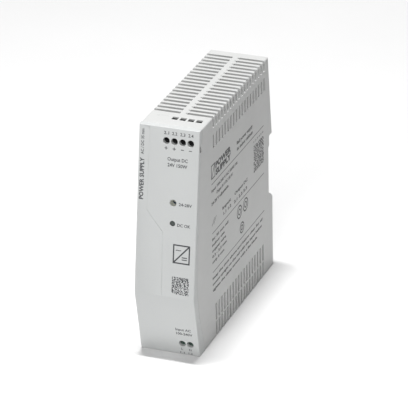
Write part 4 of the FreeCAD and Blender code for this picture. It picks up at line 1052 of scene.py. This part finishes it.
@dataclass
class TerminalRow:
    """One terminal block with its clamp screws, rising cages and bars."""

    supply: str
    poles: int
    bars: tuple[str, ...]
    plastic: Finish
    screws: Finish
    pitch_mm: float = 0.45
    throat_mm: float = 3.26
    entry_depth_mm: float = 10.1

    def screw(self, node: str) -> None:
        """Build one clamp screw: chamfered head, cross and slot, core and thread."""
        low, high = (corner * 1000 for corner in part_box(node))
        x, z = (low.x + high.x) / 2, (low.z + high.z) / 2
        head_radius = (high.x - low.x) / 2
        shank_radius = 1.2
        head_back = low.y + 1.9
        head = soften(post(f"{node}_head", Axis.Y, (x, (low.y + head_back) / 2, z),
                           head_radius, head_back - low.y, 48), 0.18, 2)
        for turned in (False, True):
            wide, tall = (0.55, 2.7) if turned else (4.4, 0.7)
            cutter = block("blade", (x - wide / 2, low.y - 0.2, z - tall / 2),
                           (x + wide / 2, low.y + (1.0 if turned else 0.7), z + tall / 2))
            carve(head, cutter)
        core = soften(post(f"{node}_core", Axis.Y, (x, (head_back + high.y) / 2 - 0.05, z),
                           shank_radius - 0.16, high.y - head_back, 32), 0.1, 2)
        turns = (high.y - head_back - 0.6) / self.pitch_mm
        thread = coil(f"{node}_thread", Axis.Y, (x, head_back + 0.25, z),
                      shank_radius - 0.18, 0.16, self.pitch_mm, turns, 4, 20, 0.8)
        piece = unite(f"{node}_turned", (head, core, thread))
        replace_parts(dress(piece, self.screws, node), node)

    def throats(self) -> None:
        """Line every wire entry of the case with the block's square throat."""
        low, high = (corner * 1000 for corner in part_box(f"{self.supply}_terminal_body"))
        upward = self.supply == "output"
        near, far = (high.z, 129.25) if upward else (0.75, low.z)
        clamps = [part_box(f"{self.supply}_clamp_{number}")
                  for number in range(1, self.poles + 1)]
        outer, inner = self.throat_mm / 2, self.throat_mm / 2 - 0.16
        depth_y = low.y + self.entry_depth_mm
        tubes = []
        for clamp_low, clamp_high in clamps:
            x = (clamp_low.x + clamp_high.x) * 500
            tube = block("throat", (x - outer, depth_y - outer, near),
                         (x + outer, depth_y + outer, far))
            room = block("room", (x - inner, depth_y - inner, near - 1),
                         (x + inner, depth_y + inner, far + 1))
            tubes.append(soften(carve(tube, room), 0.04, 1, 60))
        dress(unite(f"{self.supply}_wire_throats", tubes), self.plastic)

    def build(self) -> None:
        """Build the whole row."""
        self.throats()
        body = f"{self.supply}_terminal_body"
        dress(from_node(body, f"{body}_moulding", 0.12, 2), self.plastic)
        for number in range(1, self.poles + 1):
            self.screw(f"{self.supply}_screw_{number}")
            clamp = f"{self.supply}_clamp_{number}"
            dress(from_node(clamp, f"{clamp}_folded", 0.15, 3), Finish.CLAMP,
                  clamp)
        for bar in self.bars:
            dress(from_node(bar, f"{bar}_strip", 0.08, 2), Finish.BUSBAR)


@dataclass
class RailClip:
    """Sprung foot behind the base with its return spring."""

    body: str = "rail_foot"
    wire_mm: float = 0.25
    turns: float = 8.0
    left_over: float = 0.708

    def build(self) -> None:
        """Build the foot and its spring."""
        dress(from_node("rail_foot", "rail_foot_moulding", 0.3, 3), Finish.FOOT,
              self.body)
        low, high = (corner * 1000 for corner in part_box("foot_spring"))
        x, y = (low.x + high.x) / 2, (low.y + high.y) / 2
        radius = (high.x - low.x) / 2 - self.wire_mm
        span = high.z - low.z - 2 * self.wire_mm
        closed_turns = 1.25
        flat_pitch = 2.05 * self.wire_mm
        foot = coil("spring_low", Axis.Z, (x, y, low.z + self.wire_mm), radius,
                    self.wire_mm, flat_pitch, closed_turns)
        top = coil("spring_high", Axis.Z,
                   (x, y, high.z - self.wire_mm - flat_pitch * closed_turns), radius,
                   self.wire_mm, flat_pitch, closed_turns)
        free = span - 2 * flat_pitch * closed_turns
        middle = coil("spring_middle", Axis.Z,
                      (x, y, low.z + self.wire_mm + flat_pitch * closed_turns), radius,
                      self.wire_mm, free / self.turns, self.turns)
        middle.data.transform(Matrix.Translation(mm(x, y, 0))
                              @ Matrix.Rotation(math.tau * 0.25, 4, "Z")
                              @ Matrix.Translation(-mm(x, y, 0)))
        spring = unite("foot_spring_wire", (foot, middle, top))
        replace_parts(dress(spring, Finish.SPRING), "foot_spring")
        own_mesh(spring)


@dataclass
class FrontControls:
    """Voltage trimmer, status lamp and the small board behind the cover."""

    trimmer: tuple[float, float] = (3.4, 89.4)
    lamp: tuple[float, float] = (3.4, 78.2)

    def funnel(self) -> None:
        """Build the dished funnel that leads a blade to the trimmer."""
        plane = Board.UPPER.value
        height = (self.trimmer[1] - plane.corner[2]) / plane.up[2]
        bpy.ops.mesh.primitive_cylinder_add(vertices=64, radius=0.00186, depth=0.0026)
        piece = bpy.context.object
        piece.name = "trimmer_funnel"
        settle(piece)
        bpy.ops.mesh.primitive_cone_add(vertices=64, radius1=0.0010, radius2=0.00172,
                                        depth=0.0028)
        carve(piece, bpy.context.object)
        piece.data.transform(plane.place(self.trimmer[0], height)
                             @ Matrix.Translation((0, 0, -0.0017)))
        dress(soften(piece, 0.05, 1, 50), Finish.FUNNEL)

    def build(self) -> None:
        """Build the controls and dress the board."""
        self.funnel()
        dress(from_node("trimmer_body", "trimmer_case", 0.12, 2), Finish.TRIMMER)
        rotor = from_node("trimmer_rotor", "trimmer_rotor_turned", 0.08, 2)
        dress(rotor, Finish.ROTOR, "trimmer_rotor")
        dress(from_node("light_guide", "light_guide_moulding", 0.12, 3), Finish.LENS)
        dress(from_node("status_led", "status_lamp_cast", 0.08, 2), Finish.LAMP)
        dress(from_node("header_pins", "header_pins_formed", 0.06, 2), Finish.GOLD)
        board = dress(from_node("front_circuit_board", "front_board_cut", 0.06, 2),
                      Finish.BOARD)
        self.small_parts(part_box("front_circuit_board"), board)

    def small_parts(self, corners: tuple[Vector, Vector], board: bpy.types.Object) -> None:
        """Solder a few resistors on the front board's face."""
        low, high = (corner * 1000 for corner in corners)
        spots = [(low.x + 2.2 + 3.0 * column, low.y, low.z + 2.6 + 3.4 * row)
                 for column in range(3) for row in range(6)]
        SurfacePart("front_resistor", spots, Axis.Y, -1.0).build()
        log.info("%s carries %d small parts", board.name, len(spots))


@dataclass
class SurfacePart:
    """Chip resistors with silvered ends, all alike."""

    stem: str
    spots: Sequence[Point]
    axis: Axis
    side: float
    length: float = 2.0
    width: float = 1.2
    tall: float = 0.5

    def box_at(self, name: str, spot: Point, low: float, high: float,
               grow: float) -> bpy.types.Object:
        """One box of the part, from low to high along its length."""
        x, y, z = spot
        half = self.width / 2 + grow
        lift = sorted((0.0, self.side * (self.tall + grow)))
        if self.axis is Axis.Y:
            return block(name, (x - half, y + lift[0], z + low), (x + half, y + lift[1], z + high))
        return block(name, (x + lift[0], y - half, z + low), (x + lift[1], y + half, z + high))

    def build(self) -> None:
        """Build one chip and copy it to every spot."""
        half = self.length / 2
        first = self.spots[0]
        shifts = [[there - here for there, here in zip(spot, first)] for spot in self.spots]
        chip = soften(self.box_at("chip", first, -half + 0.3, half - 0.3, 0), 0.06, 1)
        chips = unite(f"{self.stem}_chips", repeat_at(chip, shifts))
        dress(chips, Finish.EPOXY)
        ends = [soften(self.box_at("end", first, low, low + 0.4, 0.04), 0.06, 1)
                for low in (-half, half - 0.4)]
        caps = unite(f"{self.stem}_ends", repeat_at(unite("ends", ends), shifts))
        dress(caps, Finish.SOLDER)


@dataclass
class PowerBoard:
    """Main board with its fuse, filter parts, capacitors and solder joints."""

    board: str = "main_circuit_board"
    solder_mm: float = 0.85

    def build(self) -> None:
        """Dress the board and everything that stands on it."""
        dress(from_node(self.board, "main_board_cut", 0.06, 1), Finish.BOARD)
        dress(from_node("insulating_sheet", "insulating_sheet_cut", 0.03, 1), Finish.FILM)
        dress(from_node("board_screws", "board_screws_turned", 0.08, 2), Finish.SCREW)
        self.fuse()
        for node, finish, slot, edge in (
                ("varistor", Finish.DISC, "disc_coating", 0.5),
                ("safety_capacitor", Finish.DISC, "disc_coating", 0.4),
                ("inrush_thermistor", Finish.THERMISTOR, "thermistor_coating", 0.5),
                ("line_filter_capacitor", Finish.FILM_CAP, "film_cap_plastic", 0.4),
                ("bridge_rectifier", Finish.EPOXY, "black_epoxy", 0.25)):
            piece = dress(from_node(node, f"{node}_body", edge, 3), finish)
            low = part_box(node)[0]
            face_finish(piece, Finish.SOLDER, lambda face, x=low.x: face.center.x < x + 0.0025)
        self.cans()
        self.joints()

    def fuse(self) -> None:
        """Dress the fuse, with its metal caps, and its clips."""
        low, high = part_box("fuse")
        tube = dress(from_node("fuse", "fuse_tube", 0.12, 2), Finish.CERAMIC)
        cap = 0.0055
        caps = [soften(post("fuse_cap", Axis.Z, (
            (low.x + high.x) * 500, (low.y + high.y) * 500, z), (high.x - low.x) * 500 - 0.02,
            0.25, 40), 0.1, 2) for z in (low.z * 1000 + 0.125, high.z * 1000 - 0.125)]
        dress(unite("fuse_end_caps", caps), Finish.CLIP)
        face_finish(tube, Finish.CLIP, lambda face: face.center.z < low.z + cap
                    or face.center.z > high.z - cap)
        dress(from_node("fuse_clips", "fuse_clips_bent", 0.1, 2), Finish.CLIP)

    def cans(self) -> None:
        """Dress the electrolytic cans: sleeve, bare vented end and pale stripe."""
        for node, long_way in (("bulk_capacitor_lower", 2), ("bulk_capacitor_upper", 2),
                               ("output_capacitor_1", 0), ("output_capacitor_2", 0),
                               ("output_capacitor_3", 0)):
            low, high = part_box(node)
            piece = dress(from_node(node, f"{node}_can", 0.06, 2), Finish.SLEEVE)
            middle = (low + high) / 2
            reach = 0.0105 if long_way == 2 else 0.0049

            def bare_end(face: bpy.types.MeshPolygon, way: int = long_way,
                         end: Vector = high, core: Vector = middle,
                         radius: float = reach) -> bool:
                """True on the can's open end."""
                away = (face.center - core)
                away[way] = 0
                return face.center[way] > end[way] - 0.0012 and away.length < radius * 0.86

            face_finish(piece, Finish.CAN_END, bare_end)
            face_finish(piece, Finish.SOLDER,
                        lambda face, x=low.x: face.center.x < x + 0.0018)

    def joints(self) -> None:
        """Put a solder cone at the foot of the parts' leads, behind the board."""
        low, high = (corner * 1000 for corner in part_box(self.board))
        spots = []
        for node in ("varistor", "safety_capacitor", "inrush_thermistor",
                     "line_filter_capacitor", "bridge_rectifier", "filter_choke_winding",
                     "output_choke_winding", "output_capacitor_1", "output_capacitor_2",
                     "output_capacitor_3", "bulk_capacitor_lower", "bulk_capacitor_upper",
                     "transformer_bobbin", "fuse_clips"):
            near, far = (corner * 1000 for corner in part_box(node))
            for share in (0.2, 0.8):
                spots.append((low.x, near.y + (far.y - near.y) * share,
                              (near.z + far.z) / 2))
                spots.append((low.x, (near.y + far.y) / 2,
                              near.z + (far.z - near.z) * share))
        bpy.ops.mesh.primitive_cone_add(vertices=12, radius1=self.solder_mm / 1000,
                                        radius2=self.solder_mm / 4000, depth=0.0008,
                                        rotation=(0, -math.pi / 2, 0),
                                        location=mm(*spots[0]) - mm(0.4, 0, 0))
        cone = bpy.context.object
        settle(cone)
        soften(cone, 0.2, 2)
        shifts = [[there - here for there, here in zip(spot, spots[0])] for spot in spots]
        dress(unite("main_board_solder", repeat_at(cone, shifts)), Finish.SOLDER)


@dataclass
class Magnetics:
    """Transformer and chokes."""

    def build(self) -> None:
        """Dress cores, bobbin and windings."""
        for node, finish, slot, edge in (
                ("transformer_core", Finish.FERRITE, "ferrite", 0.3),
                ("transformer_bobbin", Finish.BOBBIN, "bobbin_plastic", 0.12),
                ("transformer_winding", Finish.TAPE, "winding_tape", 0.2),
                ("filter_choke_core", Finish.FERRITE, "ferrite", 0.4),
                ("filter_choke_winding", Finish.WIRE, "copper_wire", 0.28),
                ("output_choke_core", Finish.CORE, "choke_coating", 0.4),
                ("output_choke_winding", Finish.WIRE, "copper_wire", 0.35)):
            dress(from_node(node, f"{node}_wound" if "winding" in node else f"{node}_shaped",
                            edge, 3), finish)


@dataclass
class Conversion:
    """Heat sinks with their transistors, and the control board."""

    def build(self) -> None:
        """Dress the sinks, packages, screws and control parts."""
        for node, finish, slot, edge in (
                ("primary_heat_sink", Finish.SINK, "sink_aluminium", 0.12),
                ("secondary_heat_sink", Finish.SINK, "sink_aluminium", 0.12),
                ("switching_transistors", Finish.EPOXY, "black_epoxy", 0.12),
                ("rectifier_transistors", Finish.EPOXY, "black_epoxy", 0.12),
                ("transistor_screws", Finish.SCREW, "screw_steel", 0.08),
                ("control_chips", Finish.EPOXY, "black_epoxy", 0.08),
                ("optocoupler_1", Finish.EPOXY, "black_epoxy", 0.15),
                ("optocoupler_2", Finish.EPOXY, "black_epoxy", 0.15)):
            piece = dress(from_node(node, f"{node}_finished", edge, 2), finish)
            if finish is Finish.EPOXY and "transistors" in node:
                face_finish(piece, Finish.SOLDER, lambda face: face.center.x < -0.0042)
        dress(from_node("control_board", "control_board_cut", 0.05, 1), Finish.BOARD)
        low, high = (corner * 1000 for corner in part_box("control_board"))
        spots = [(low.x + 2.0 + 3.0 * column, low.y, low.z + 2.6 + 3.4 * row)
                 for column in range(5) for row in range(5)]
        SurfacePart("control_resistor", spots, Axis.Y, -1.0).build()


def main() -> None:
    """Build the stage and every sub-assembly in order."""
    Studio().build()
    makers = (Casing(), CoverPrint(), SidePrint(),
              # the output row's near-black block and screws are painted shade in its wire entries
              TerminalRow("output", 4, ("output_busbar_plus", "output_busbar_minus"),
                          Finish.OUTPUT_BLOCK, Finish.DARK_SCREW),
              TerminalRow("input", 2, ("input_busbar_line", "input_busbar_neutral"),
                          Finish.INPUT_BLOCK, Finish.GREEN_SCREW),
              RailClip(), FrontControls(), PowerBoard(), Magnetics(), Conversion())
    for maker in makers:
        log.info("building %s", type(maker).__name__)
        maker.build()
    left = [name for name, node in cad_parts.items() if not node.hide_render]
    log.info("nodes still shown: %s", left)


if __name__ == "__main__":
    main()
